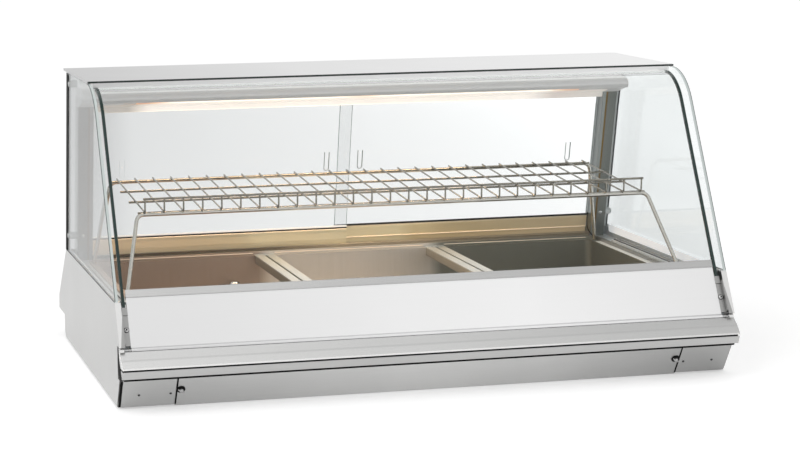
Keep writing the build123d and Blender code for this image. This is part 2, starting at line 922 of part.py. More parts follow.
# Door tracks between the posts
track_floor = deck_z + track_base
track_top = deck_z + track_height
track_front_inset = post_front_inset - track_front_gap
track_rear_inset = post_rear_inset + track_rear_gap
door_insets = {"left": rear_door_inset + door_pitch, "right": rear_door_inset}
with BuildPart() as lower_track:
    with BuildSketch(Plane.YZ):
        Polygon(*leaning(deck_z, track_top, track_front_inset, track_rear_inset), align=None)
        for inset in door_insets.values():
            Polygon(
                *leaning(track_floor, track_top, *about(inset, track_groove)),
                align=None,
                mode=Mode.SUBTRACT,
            )
    extrude(amount=post_inner, both=True)
save(lower_track.part, "lower_track")

upper_track_bottom = canopy_underside - upper_track_height
upper_slot_top = canopy_underside - upper_slot_cover
with BuildPart() as upper_track:
    with BuildSketch(Plane.YZ):
        Polygon(
            *leaning(upper_track_bottom, canopy_underside, track_front_inset, track_rear_inset),
            align=None,
        )
        for inset in door_insets.values():
            Polygon(
                *leaning(
                    upper_track_bottom,
                    upper_slot_top,
                    *about(inset, door_glass + 2 * upper_slot_gap),
                ),
                align=None,
                mode=Mode.SUBTRACT,
            )
    extrude(amount=post_inner, both=True)
save(upper_track.part, "upper_track")

# Sliding doors: glass with ground finger pulls, a rail with a tongue, and a black gasket
door_outer = post_inner - door_end_gap
door_spans = {
    "left": (-door_outer, door_meeting + door_overlap / 2),
    "right": (door_meeting - door_overlap / 2, door_outer),
}
rail_bottom = deck_z + door_rail_lift
rail_top = rail_bottom + door_rail_height
pane_bottom = rail_bottom + door_rail_base
pane_top = upper_slot_top - door_top_gap
pull_bottom = rail_top + pull_rise - pull_height / 2
pull_top = pull_bottom + pull_height
pull_insets = {"left": (pull_from_post, pull_from_end), "right": (pull_from_end, pull_from_post)}
for name, (start, end) in door_spans.items():
    first, last = pull_insets[name]
    inset = door_insets[name]
    pane = about(inset, door_glass)
    rail = about(inset, door_rail_width)

    with BuildPart() as door_pane:
        with BuildSketch(Plane.YZ.offset(start)):
            Polygon(*leaning(pane_bottom, pane_top, *pane), align=None)
        extrude(amount=end - start)
        for pull in (start + first, end - last):
            with BuildSketch(Plane.YZ.offset(pull - pull_width / 2)):
                Polygon(*leaning(pull_bottom, pull_top, pane[1] + pull_depth, pane[1]), align=None)
            extrude(amount=pull_width, mode=Mode.SUBTRACT)
    save(door_pane.part, f"door_glass_{name}")

    with BuildPart() as door_rail:
        with BuildSketch(Plane.YZ.offset(start)):
            Polygon(*leaning(rail_bottom, rail_top, *rail), align=None)
            Polygon(
                *leaning(track_floor + tongue_gap, rail_bottom, *about(inset, tongue_width)),
                align=None,
            )
            Polygon(*leaning(pane_bottom, rail_top, *pane), align=None, mode=Mode.SUBTRACT)
        extrude(amount=end - start)
    save(door_rail.part, f"door_rail_{name}")

    with BuildPart() as door_seal:
        with BuildSketch(Plane.YZ.offset(start)):
            Polygon(*leaning(rail_top, rail_top + door_gasket, *rail), align=None)
            Polygon(
                *leaning(rail_top, rail_top + door_gasket, *pane), align=None, mode=Mode.SUBTRACT
            )
        extrude(amount=end - start)
    save(door_seal.part, f"door_gasket_{name}")

# Lamp canopy: a closed folded housing with lamp windows in its sloping underside
canopy_half = post_inner + post_width
canopy_top = overall_height - sheet
canopy_lip = overall_height - canopy_lip_drop
canopy_shoulder = overall_height - canopy_shoulder_drop
canopy_flat_y = rear_y(canopy_underside, post_front_inset)
canopy_front_y = canopy_flat_y - canopy_reach
canopy_outline = [
    (canopy_front_y, canopy_lip),
    (canopy_flat_y, canopy_underside),
    (rear_y(canopy_underside, post_rear_inset), canopy_underside),
    (rear_y(canopy_top, post_rear_inset), canopy_top),
    (canopy_front_y + canopy_rise_run, canopy_top),
    (canopy_front_y + canopy_shoulder_run, canopy_shoulder),
    (canopy_front_y, overall_height - canopy_face_drop),
]
lamp_y = (canopy_front_y + canopy_flat_y) / 2
lamp_z = (canopy_lip + canopy_underside) / 2 + lamp_rise
window_plane = Plane(
    origin=(0, lamp_y, lamp_z - lamp_rise),
    x_dir=(1, 0, 0),
    z_dir=(0, canopy_underside - canopy_lip, canopy_front_y - canopy_flat_y),
)


def round_canopy(section):
    """Round the brow and the lip at the front of a canopy section."""
    fillet(section.vertices().group_by(Axis.X)[0].sort_by(Axis.Y)[-1], radius=canopy_brow)
    fillet(section.vertices().group_by(Axis.X)[0].sort_by(Axis.Y)[0], radius=canopy_rounding)


with BuildPart() as canopy:
    with BuildSketch(Plane.YZ) as canopy_section:
        Polygon(*canopy_outline, align=None)
        round_canopy(canopy_section)
    extrude(amount=canopy_half, both=True)
    with BuildSketch(Plane.YZ) as canopy_hollow:
        Polygon(*canopy_outline, align=None)
        round_canopy(canopy_hollow)
        offset(amount=-sheet, kind=Kind.INTERSECTION, mode=Mode.REPLACE)
    extrude(amount=canopy_half - sheet, both=True, mode=Mode.SUBTRACT)
    with BuildSketch(window_plane):
        with GridLocations(lamp_pitch, 0, lamp_count, 1):
            Rectangle(window_length, window_width)
    extrude(amount=-2 * sheet, mode=Mode.SUBTRACT)
save(canopy.part, "lamp_canopy")

# Reflector, lamp tubes and their holders inside the canopy
reflector_top = lamp_z + reflector_rise
reflector_path = [
    (lamp_y - reflector_half_bottom, lamp_z - reflector_drop),
    (lamp_y - reflector_half_top, reflector_top),
    (lamp_y + reflector_half_top, reflector_top),
    (lamp_y + reflector_half_bottom, lamp_z - reflector_drop),
]
with BuildPart() as reflector:
    with BuildSketch(Plane.YZ):
        Polygon(*folded(reflector_path, reflector_sheet), align=None)
    extrude(amount=canopy_half - sheet, both=True)
save(reflector.part, "lamp_reflector")

lamp_places = [(step - (lamp_count - 1) / 2) * lamp_pitch for step in range(lamp_count)]
with BuildPart() as lamp_tubes:
    for x in lamp_places:
        with BuildSketch(Plane.YZ.offset(x)):
            with Locations((lamp_y, lamp_z)):
                Circle(lamp_radius)
        extrude(amount=lamp_length / 2, both=True)
save(lamp_tubes.part, "lamp_tubes")

holder_outline = span(
    lamp_y - holder_half,
    lamp_y + holder_half,
    lamp_z - holder_half,
    reflector_top - reflector_sheet,
)
with BuildPart() as lamp_holders:
    for x in lamp_places:
        for start in (x - lamp_length / 2 - holder_length, x + lamp_length / 2):
            with BuildSketch(Plane.YZ.offset(start)):
                Polygon(*holder_outline, align=None)
            extrude(amount=holder_length)
save(lamp_holders.part, "lamp_holders")

# Top panel: a shallow tray turned down at its edges, with a hanging rail behind its front edge
bend_z = hood_top - hood_bend_radius
bend_start_z = bend_z + hood_bend_radius * front_cos
bend_y = front_y(bend_start_z) + hood_bend_radius * front_sin
top_front_y = bend_y
top_rear_y = rear_y(hood_top) + top_rear_overhang
top_skin = overall_height - sheet
top_rail_path = [
    (top_front_y + top_rail_foot, top_skin - top_rail_height),
    (top_front_y, top_skin - top_rail_height),
    (top_front_y, top_skin),
]
with BuildPart() as top_panel:
    with BuildSketch(Plane.YZ):
        Polygon(*span(top_front_y, top_rear_y, top_underside, overall_height), align=None)
    extrude(amount=half_width, both=True)
    with BuildSketch(Plane.YZ):
        Polygon(*span(top_front_y + sheet, top_rear_y - sheet, top_underside, top_skin), align=None)
    extrude(amount=half_width - sheet, both=True, mode=Mode.SUBTRACT)
    with BuildSketch(Plane.YZ):
        Polygon(*folded(top_rail_path, sheet), align=None)
    extrude(amount=inner_half, both=True)
save(top_panel.part, "top_panel")

# Side glasses on a thin gasket, screwed to the canopy ends and the posts
pane_foot = side_top + gasket
lower_fixing_z = pane_foot + lower_fixing_rise
fixing_inset = (post_front_inset + post_rear_inset) / 2
fixing_places = [
    (rear_y(canopy_shoulder, fixing_inset), canopy_shoulder),
    (rear_y(lower_fixing_z, fixing_inset), lower_fixing_z),
]
for name, start in (("left", gasket_skin - half_width), ("right", half_width - glass)):
    with BuildPart() as side_glass:
        with BuildSketch(Plane.YZ.offset(start)):
            with BuildLine():
                Line((front_y(pane_foot), pane_foot), (front_y(bend_start_z), bend_start_z))
                CenterArc((bend_y, bend_z), hood_bend_radius, 90 + front_angle, -front_angle)
                Polyline(
                    (bend_y, hood_top),
                    (rear_y(hood_top), hood_top),
                    (rear_y(pane_foot), pane_foot),
                    (front_y(pane_foot), pane_foot),
                )
            make_face()
            with Locations(*fixing_places):
                Circle(fixing_hole, mode=Mode.SUBTRACT)
        extrude(amount=glass - gasket_skin)
    save(side_glass.part, f"side_glass_{name}")

with BuildPart() as side_gaskets:
    for start in (-half_width, half_width - glass):
        with BuildSketch(Plane.YZ.offset(start)):
            Polygon(
                (front_edge_y, side_top),
                (rear_edge_y, side_top),
                (rear_y(pane_foot), pane_foot),
                (front_y(pane_foot), pane_foot),
                align=None,
            )
            Polygon(*leaning(side_top, hood_top, 0.0, -rear_gasket), align=None)
        extrude(amount=glass)
    for start in (glass - half_width, half_width - glass - gasket_leg):
        with BuildSketch(Plane.YZ.offset(start)):
            Polygon(*leaning(side_top, hood_top, gasket_cover, -rear_gasket), align=None)
        extrude(amount=gasket_leg)
    for start in (-half_width, half_width - gasket_skin):
        with BuildSketch(Plane.YZ.offset(start)):
            Polygon(*leaning(side_top, hood_top, gasket_cover, -rear_gasket), align=None)
        extrude(amount=gasket_skin)
save(side_gaskets.part, "side_gaskets")

with BuildPart() as glass_fixings:
    for side in (-1, 1):
        with BuildSketch(Plane.YZ.offset(side * canopy_half)):
            with Locations(*fixing_places):
                Circle(fixing_collar)
        extrude(amount=side * (half_width - glass - canopy_half))
        with BuildSketch(Plane.YZ.offset(side * (half_width - glass))):
            with Locations(*fixing_places):
                Circle(fixing_radius)
        extrude(amount=side * glass)
save(glass_fixings.part, "glass_fixings")

# Tilting front: sloping panel rolled round the hinge rod, its cap, and the curved glass behind it
panel_half = half_width - panel_end_gap
panel_foot = -hinge_drop + knuckle_bore + sheet / 2
with BuildPart() as front_panel:
    with BuildSketch(Plane.YZ):
        Polygon(*slab(panel_foot, panel_rise, panel_in, panel_out), align=None)
        with Locations((hinge_y, hinge_z)):
            Circle(knuckle_radius)
            Circle(knuckle_bore, mode=Mode.SUBTRACT)
    extrude(amount=panel_half, both=True)
save(front_panel.part, "front_panel")

cap_path = [
    on_front(panel_rise + sheet, panel_in),
    on_front(panel_rise + sheet, panel_out + sheet),
    on_front(panel_rise - cap_height, panel_out + sheet),
]
with BuildPart() as panel_cap:
    with BuildSketch(Plane.YZ):
        Polygon(*folded(cap_path[::-1], sheet), align=None)
    extrude(amount=panel_half, both=True)
save(panel_cap.part, "panel_cap")

pane_in = panel_in - front_glass
outer_radius = hood_bend_radius - front_glass_inset
inner_radius = outer_radius - front_glass
pane_bend = (bend_y + pane_bend_rise * front_cos, bend_z + pane_bend_rise * front_sin)
end_run = pane_bend[0] - top_front_y + glass_end_gap
outer_turn = degrees(atan2(sqrt(outer_radius**2 - end_run**2), -end_run))
inner_turn = degrees(atan2(sqrt(inner_radius**2 - end_run**2), -end_run))
bend_from = 90 + front_angle
bend_up = (bend_start_z - side_top) / front_sin + pane_bend_rise
with BuildPart() as curved_glass:
    with BuildSketch(Plane.YZ):
        with BuildLine():
            Line(on_front(-glass_drop, panel_in), on_front(bend_up, panel_in))
            outer_arc = CenterArc(pane_bend, outer_radius, bend_from, outer_turn - bend_from)
            inner_arc = CenterArc(pane_bend, inner_radius, bend_from, inner_turn - bend_from)
            Line(outer_arc @ 1, inner_arc @ 1)
            Polyline(
                on_front(bend_up, pane_in),
                on_front(-glass_drop, pane_in),
                on_front(-glass_drop, panel_in),
            )
        make_face()
    extrude(amount=inner_half - glass_side_gap, both=True)
save(curved_glass.part, "front_glass")

holder_path = [
    on_front(-glass_drop - sheet, panel_in),
    on_front(-glass_drop - sheet, pane_in - sheet),
    on_front(-glass_drop + holder_height, pane_in - sheet),
]
with BuildPart() as glass_holder:
    with BuildSketch(Plane.YZ):
        Polygon(*folded(holder_path[::-1], sheet), align=None)
    extrude(amount=panel_half, both=True)
save(glass_holder.part, "glass_holder")

# End strips beside the panel, their screws, and the clips at the lower glass corners
front_plane = Plane(
    origin=(0, front_edge_y, side_top), x_dir=(1, 0, 0), z_dir=(0, -front_sin, front_cos)
)
strip_outer = inner_half - sheet
strip_outline = [
    (panel_half, -strip_bottom_drop),
    (strip_outer, -strip_bottom_drop),
    (strip_outer, -strip_top_drop),
    (panel_half, -strip_top_drop),
]
for name, side in (("left", -1), ("right", 1)):
    with BuildPart() as end_strip:
        with BuildSketch(front_plane.offset(panel_in)):
            Polygon(*[(side * x, up) for x, up in strip_outline], align=None)
        extrude(amount=sheet)
    save(end_strip.part, f"end_strip_{name}")

strip_middle = (panel_half + strip_outer) / 2
with BuildPart() as strip_screws:
    with BuildSketch(front_plane.offset(panel_out)):
        with Locations((-strip_middle, -strip_screw_drop), (strip_middle, -strip_screw_drop)):
            Circle(strip_screw_radius)
    extrude(amount=strip_screw_height)
    heads = strip_screws.faces().sort_by(Axis(front_plane.origin, front_plane.z_dir))[-2:]
    fillet(heads.edges(), radius=screw_rounding)
save(strip_screws.part, "strip_screws")

clip_width = strip_outer - panel_half
clip_foot = strip_top_drop - glass_drop
with BuildPart() as glass_clips:
    with BuildSketch(front_plane.offset(panel_in)):
        for side in (-1, 1):
            with Locations((side * strip_middle, -strip_top_drop)):
                Rectangle(clip_width, clip_foot + clip_rise, align=(Align.CENTER, Align.MIN))
    extrude(amount=2 * sheet)
    with BuildSketch(front_plane.offset(panel_in)):
        for side in (-1, 1):
            with Locations((side * strip_middle, -strip_top_drop)):
                Rectangle(clip_width, clip_foot, align=(Align.CENTER, Align.MIN))
    extrude(amount=-front_glass)
save(glass_clips.part, "glass_clips")

# Wire shelf: two bent rods that stand on the deck and on the ledge, under a welded grid
shelf_half = half_width - shelf_inset
shelf_front_y = front_y(shelf_front_z, apron_inset) + shelf_front_gap
shelf_rear_y = rear_y(shelf_rear_z, post_front_inset) - shelf_rear_gap
shelf_slope = Plane(
    origin=(0, shelf_front_y, shelf_front_z),
    x_dir=(1, 0, 0),
    z_dir=(0, shelf_front_z - shelf_rear_z, shelf_rear_y - shelf_front_y),
)
shelf_depth = hypot(shelf_rear_y - shelf_front_y, shelf_rear_z - shelf_front_z)
rod_half = half_width - rod_inset
front_foot = (rim_half + rim_flange / 2, rim_front_y + front_foot_from_rim, deck_z + sheet)
rear_foot = (rim_half - ledge / 2, rim_rear_y - rear_foot_from_rim, ledge_z)


def bent_rod(y, z, foot):
    """Shelf rod: a straight top run with a slanting leg down to a foot at each end."""
    flat = hypot(foot[0] - rod_half, foot[1] - y)
    lift = rod_radius * flat / hypot(flat, z - foot[2]) + foot_rest_gap
    points = [
        (-foot[0], foot[1], foot[2] + lift),
        (-rod_half, y, z),
        (rod_half, y, z),
        (foot[0], foot[1], foot[2] + lift),
    ]
    with BuildPart() as rod:
        with BuildLine() as path:
            FilletPolyline(*points, radius=rod_bend)
        with BuildSketch(Plane(origin=path.line @ 0, z_dir=path.line % 0)):
            Circle(rod_radius)
        sweep(path=path.line)
    return rod.part


save(bent_rod(shelf_front_y, shelf_front_z, front_foot), "shelf_rod_front")
save(bent_rod(shelf_rear_y, shelf_rear_z, rear_foot), "shelf_rod_rear")

wire_lift = rod_radius + wire_radius
cross_pitch = 2 * (shelf_half - wire_end_inset) / (cross_wire_count - 1)
long_lift = wire_lift - wire_radius - long_wire_radius + weld
long_first = rod_radius + long_wire_radius + long_wire_gap
long_pitch = (shelf_depth - 2 * long_first) / (long_wire_count - 1)
long_half = shelf_half + long_wire_tail
long_places = [(long_first + step * long_pitch, long_lift) for step in range(long_wire_count)]
fence_top = wire_lift + fence_height
wire_plane = Plane(origin=shelf_slope.origin, x_dir=shelf_slope.y_dir, z_dir=(1, 0, 0))

with BuildPart() as cross_wire:
    with BuildLine(wire_plane) as wire_path:
        FilletPolyline(
            (shelf_depth + wire_tail, wire_lift),
            (-wire_front, wire_lift),
            (-wire_front, fence_top),
            radius=wire_bend,
        )
    with BuildSketch(Plane(origin=wire_path.line @ 0, z_dir=wire_path.line % 0)):
        Circle(wire_radius)
    sweep(path=wire_path.line)

with BuildPart() as shelf_grid:
    with GridLocations(cross_pitch, 0, cross_wire_count, 1):
        add(cross_wire.part)
    with BuildSketch(wire_plane):
        with Locations(*long_places):
            Circle(long_wire_radius)
    extrude(amount=long_half, both=True)
    with BuildSketch(wire_plane):
        with Locations((-wire_front, fence_top)):
            Circle(long_wire_radius)
    extrude(amount=shelf_half - wire_end_inset + fence_tail, both=True)
save(shelf_grid.part, "shelf_grid")
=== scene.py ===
"""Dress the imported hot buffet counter: finishes, small hardware, studio and camera."""

import logging
from collections.abc import Sequence
from dataclasses import dataclass, field
from enum import Enum
from math import cos, pi, radians, sin
from typing import Any

import bmesh
import bpy
from mathutils import Matrix, Vector

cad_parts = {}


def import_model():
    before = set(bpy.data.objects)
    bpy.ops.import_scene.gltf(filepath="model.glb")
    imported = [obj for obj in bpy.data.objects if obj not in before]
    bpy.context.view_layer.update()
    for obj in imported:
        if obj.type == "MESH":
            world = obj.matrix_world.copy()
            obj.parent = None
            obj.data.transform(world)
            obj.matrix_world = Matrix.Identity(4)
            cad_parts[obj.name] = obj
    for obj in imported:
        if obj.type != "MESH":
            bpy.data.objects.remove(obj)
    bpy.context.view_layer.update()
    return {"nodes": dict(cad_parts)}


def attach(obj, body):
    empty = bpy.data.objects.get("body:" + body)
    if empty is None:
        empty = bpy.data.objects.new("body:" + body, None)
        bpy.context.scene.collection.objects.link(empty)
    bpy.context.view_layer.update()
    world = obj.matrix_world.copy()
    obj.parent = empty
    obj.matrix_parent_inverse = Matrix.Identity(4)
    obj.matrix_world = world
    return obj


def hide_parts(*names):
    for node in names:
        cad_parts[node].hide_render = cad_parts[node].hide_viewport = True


frame: dict[str, Any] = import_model()
LOG: logging.Logger = logging.getLogger("buffet_counter")

Point = tuple[float, float, float]
Flat = tuple[float, float]
Line = tuple[Flat, ...]
Tints = tuple[tuple[float, str], ...]
Wear = bpy.types.Material
Socket = bpy.types.NodeSocket

MM: float = 0.001
SIDES: tuple[int, int] = (-1, 1)
# Slope of the counter's front in degrees, and how far the rear leans forward for each unit of height
FRONT_SLOPE: float = 60.0
REAR_LEAN: float = 0.2493
# Depth of a grinding line or of a moulded skin's grain, in metres
GRAIN_DEPTH: float = 0.0002
# Inner wedge of a side panel's folded returns, which gets painted shade: how it narrows upwards, and how far
# out it reaches
HEM_TAPER: float = 0.146
HEM_REACH: float = 563.4
# Edges that turn more than this many degrees stay sharp
SHARP: float = 35.0
CRISP: float = 20.0
ROUNDED: float = 60.0
# Light of the lamps on what hangs beside them
LAMP_WASH: Tints = (
    (-500.0, "c4c4c4"), (-440.0, "c4c4c4"), (-400.0, "ffffff"), (340.0, "ffffff"), (400.0, "d8d4d4"),
    (500.0, "d8d8d8"),
)
# Runs a section of Y and Z along the counter
ALONG_X: Matrix = Matrix(((0, 0, 1, 0), (1, 0, 0, 0), (0, 1, 0, 0), (0, 0, 0, 1)))


class Grain(Enum):
    """The way the grinding lines of a metal run."""

    ALONG = "x"
    ACROSS = "y"
    UPRIGHT = "z"


class Wash(Enum):
    """The way along which a slow change of painted light and shade runs."""

    LENGTH = "along the counter"
    SPREAD = "from the middle outwards"
    HEIGHT = "upwards"


class Pane(Enum):
    """Which way a pane's large faces look, so that its ground edges can be told apart."""

    SIDEWAYS = "sideways"
    FORWARD = "forward, leaning back"
    UPRIGHT = "forward, with hidden top and foot"


def linear(hex_colour: str) -> tuple[float, float, float, float]:
    """Turn an sRGB hex colour into the linear colour that a shader takes.

    Args:
        hex_colour: six hex digits.

    Returns:
        Linear red, green, blue and an alpha of one.
    """
    parts = [int(hex_colour[i:i + 2], 16) / 255 for i in (0, 2, 4)]
    r, g, b = (c / 12.92 if c <= 0.04045 else ((c + 0.055) / 1.055) ** 2.4 for c in parts)
    return (r, g, b, 1.0)


def add_node(
    tree: bpy.types.NodeTree, kind: str, inputs: dict[str | int, Any] | None = None, **settings: Any
) -> bpy.types.Node:
    """Add a node with its settings, and set or link its inputs.

    Args:
        tree: the node tree that gets the node.
        kind: the node's type name.
        inputs: value or output socket for each input, by name or number.
        **settings: the node's own properties.

    Returns:
        The new node.
    """
    node = tree.nodes.new(kind)
    for key, value in settings.items():
        setattr(node, key, value)
    for key, value in (inputs or {}).items():
        if isinstance(value, Socket):
            tree.links.new(value, node.inputs[key])
        else:
            node.inputs[key].default_value = value
    return node


class Graph:
    """A shader tree in the making, with short ways to add what comes up again and again."""

    def __init__(self, tree: bpy.types.NodeTree) -> None:
        """Start from an emptied tree.

        Args:
            tree: the tree.
        """
        tree.nodes.clear()
        self.tree = tree

    def add(
        self, kind: str, inputs: dict[str | int, Any] | None = None, out: str | int = 0, **settings: Any
    ) -> Socket:
        """Add a shader node.

        Args:
            kind: the type name after its first word.
            inputs: value or output socket for each input.
            out: the output that is wanted.
            **settings: the node's own properties.

        Returns:
            That output.
        """
        return add_node(self.tree, f"ShaderNode{kind}", inputs, **settings).outputs[out]

    def coords(self, kind: str = "Object") -> Socket:
        """Give places or normals.

        Args:
            kind: which coordinates.

        Returns:
            Their output.
        """
        return self.add("TexCoord", out=kind)

    def split(self, vector: Socket) -> list[Socket]:
        """Take a vector apart.

        Args:
            vector: the vector.

        Returns:
            Its three parts.
        """
        return list(add_node(self.tree, "ShaderNodeSeparateXYZ", {0: vector}).outputs)

    def math(self, operation: str, *values: Any) -> Socket:
        """Reckon with numbers.

        Args:
            operation: the operation's name.
            *values: what it takes.

        Returns:
            The result.
        """
        return self.add("Math", dict(enumerate(values)), operation=operation)

    def span(
        self, value: Socket, start: float = 0.0, end: float = 1.0, low: float = 0.0, high: float = 1.0,
        **settings: Any,
    ) -> Socket:
        """Carry a number from one range to another.

        Args:
            value: the number.
            start, end: the range it comes from.
            low, high: the range it goes to.
            **settings: the node's own properties.

        Returns:
            The number in its new range.
        """
        ends = {"From Min": start, "From Max": end, "To Min": low, "To Max": high}
        return self.add("MapRange", {"Value": value, **ends}, **settings)

    def mix(self, factor: Any, first: Any, second: Any, blend: str = "MIX") -> Socket:
        """Mix two colours.

        Args:
            factor: share of the second.
            first, second: the colours.
            blend: how they are mixed.

        Returns:
            The mixed colour.
        """
        return self.add("Mix", {0: factor, 6: first, 7: second}, 2, data_type="RGBA", blend_type=blend)

    def choose(self, factor: Socket, no: Any, yes: Any) -> Socket:
        """Choose between two numbers.

        Args:
            factor: nought or one.
            no, yes: the numbers.

        Returns:
            The chosen number.
        """
        return self.add("Mix", {0: factor, 2: no, 3: yes})

    def noise(self, place: Socket, size: float, **inputs: float) -> Socket:
        """Give noise.

        Args:
            place: where it is read.
            size: size of its spots, in the place's unit.
            **inputs: further inputs.

        Returns:
            The noise.
        """
        return self.add("TexNoise", {"Vector": place, "Scale": 1 / size, **inputs})

    def ramp(self, value: Socket, stops: Sequence[tuple[float, Any]]) -> Socket:
        """Give the colour that belongs to a number.

        Args:
            value: the number.
            stops: number and linear colour of each stop, in rising order.

        Returns:
            The colour.
        """
        start, end = stops[0][0], stops[-1][0]
        node = add_node(self.tree, "ShaderNodeValToRGB", {0: self.span(value, start, end)})
        elements = node.color_ramp.elements
        elements.remove(elements[1])
        elements[0].position, elements[0].color = 0.0, stops[0][1]
        for at, colour in stops[1:]:
            elements.new((at - start) / (end - start)).color = colour
        return node.outputs[0]

    def bump(self, height: Socket, strength: float, **inputs: Socket) -> Socket:
        """Give the normal of a finely uneven skin.

        Args:
            height: the skin's height.
            strength: how strongly it shows.
            **inputs: further inputs.

        Returns:
            The normal.
        """
        return self.add("Bump", {"Height": height, "Strength": strength, "Distance": GRAIN_DEPTH, **inputs})

    def close(self, inputs: dict[str | int, Any]) -> None:
        """Add the main shader and lead it to the output.

        Args:
            inputs: what the shader takes.
        """
        add_node(self.tree, "ShaderNodeOutputMaterial", {0: self.add("BsdfPrincipled", inputs)})


def new_material(name: str) -> tuple[Wear, Graph]:
    """Start a material with an empty tree.

    Args:
        name: the material's name.

    Returns:
        The material and its tree.
    """
    material = bpy.data.materials.new(name)
    material.use_nodes = True
    return material, Graph(material.node_tree)


@dataclass(frozen=True)
class SatinMetal:
    """Ground, drawn or anodised metal: fine parallel lines that stretch every highlight.

    Attributes:
        name: the material's name.
        colour: main tone, sRGB hex.
        shade: tone of the grooves and of faint clouding, sRGB hex.
        roughness: mean roughness.
        grain: the way the lines run.
        line_mm: width of a grinding line.
        line_length: length of a line in widths.
        cloud_mm: size of the faint clouding left by wiping.
        fold_mm: radius that folded edges show.
        relief: strength of the grinding lines as bumps.
        streak: how much the roughness changes from line to line.
        contrast: between which sums of lines and clouding the tone changes.
        painted_hem_shade: tone of the painted shade on the inner wedge of a side panel's folded returns, sRGB
            hex, or nothing.
        metallic: how far it is metal; the rest is a matt anodised skin.
        wash: places in millimetres with the painted light or shade tint that the colour takes there, sRGB
            hex.
        way: the way along which the wash runs.
        lit: strength of the painted lamp light that lies on it, a glow in its own colour.
    """

    name: str
    colour: str
    shade: str
    roughness: float = 0.34
    grain: Grain = Grain.ALONG
    line_mm: float = 0.7
    line_length: float = 300.0
    cloud_mm: float = 180.0
    fold_mm: float = 0.8
    relief: float = 0.02
    streak: float = 0.03
    contrast: Flat = (0.7, 1.3)
    painted_hem_shade: str = ""
    metallic: float = 1.0
    wash: Tints = ()
    way: Wash = Wash.LENGTH
    lit: float = 0.0

    def build(self) -> Wear:
        """Make the material.

        Returns:
            The finished material.
        """
        material, graph = new_material(self.name)
        place = graph.coords()
        across = 1 / (self.line_mm * MM)
        scale = [across / self.line_length if way is self.grain else across for way in Grain]
        stretched = graph.add("Mapping", {"Vector": place, "Scale": scale})
        lines = graph.noise(stretched, 1.0, Detail=2.0, Roughness=0.6)
        both = graph.math("ADD", lines, graph.noise(place, self.cloud_mm * MM, Detail=2.0))
        tone = graph.span(both, *self.contrast)
        colour = graph.mix(tone, linear(self.shade), linear(self.colour))
        if self.wash:
            colour = self._washed(graph, place, colour)
        if self.painted_hem_shade:
            colour = self._paint_hem_shade(graph, place, colour)
        smooth, rough = self.roughness - self.streak, self.roughness + self.streak
        edge = graph.add("Bevel", {"Radius": self.fold_mm * MM}, samples=4)
        light = {"Emission Color": colour, "Emission Strength": self.lit} if self.lit else {}
        graph.close({
            "Base Color": colour, "Metallic": self.metallic,
            "Roughness": graph.span(both, *self.contrast, rough, smooth),
            "Normal": graph.bump(lines, self.relief, Normal=edge), **light,
        })
        return material

    def _washed(self, graph: Graph, place: Socket, colour: Socket) -> Socket:
        """Tint a colour along the wash with painted light and shade.

        Args:
            graph: the material's tree.
            place: the place on the counter.
            colour: the colour.

        Returns:
            The tinted colour.
        """
        x, _, z = graph.split(place)
        reach = z if self.way is Wash.HEIGHT else x
        if self.way is Wash.SPREAD:
            reach = graph.math("ABSOLUTE", x)
        tint = graph.ramp(reach, [(at * MM, linear(tone)) for at, tone in self.wash])
        return graph.mix(1.0, colour, tint, "MULTIPLY")

    def _paint_hem_shade(self, graph: Graph, place: Socket, colour: Socket) -> Socket:
        """Paint shade on the inner wedge of the folded returns, which look forward, back, up or down.

        Args:
            graph: the material's tree.
            place: the place on the counter.
            colour: the colour.

        Returns:
            The colour with the wedge.
        """
        sideways = graph.math("ABSOLUTE", graph.split(graph.coords("Normal"))[0])
        turned = graph.math("LESS_THAN", sideways, 0.5)
        x, _, z = graph.split(place)
        slant = graph.math("MULTIPLY_ADD", z, HEM_TAPER, graph.math("ABSOLUTE", x))
        inner = graph.math("LESS_THAN", slant, HEM_REACH * MM)
        return graph.mix(graph.math("MULTIPLY", turned, inner), colour, linear(self.painted_hem_shade))


@dataclass(frozen=True)
class ClearGlass:
    """Toughened float glass: clear through its faces, bottle green along its ground edges.

    Attributes:
        name: the material's name.
        face: tint through a face, sRGB hex.
        edge: tint of a ground edge, sRGB hex.
        pane: which way the large faces look.
        ior: how strongly the faces mirror and bend light.
        rim_clear: how much a ground edge lets through.
        rim_rough: roughness of a ground edge.
        brim: how far back and up a bent pane's upper edge looks at least.
    """

    name: str
    face: str
    edge: str
    pane: Pane
    ior: float = 1.2
    rim_clear: float = 0.12
    rim_rough: float = 0.3
    brim: float = 0.02

    def build(self) -> Wear:
        """Make the material.

        Returns:
            The finished material.
        """
        material, graph = new_material(self.name)
        sideways, back, up = graph.split(graph.coords("Normal"))
        test = "LESS_THAN" if self.pane is Pane.SIDEWAYS else "GREATER_THAN"
        rim = graph.math(test, graph.math("ABSOLUTE", sideways), 0.5)
        if self.pane is Pane.FORWARD:
            brim = graph.math("GREATER_THAN", graph.math("MULTIPLY", back, up), self.brim)
            rim = graph.math("MAXIMUM", rim, brim)
        graph.close({
            "Base Color": graph.mix(rim, linear(self.face), linear(self.edge)), "IOR": self.ior,
            "Roughness": graph.span(rim, high=self.rim_rough),
            "Transmission Weight": graph.span(rim, low=1.0, high=self.rim_clear),
        })
        return material


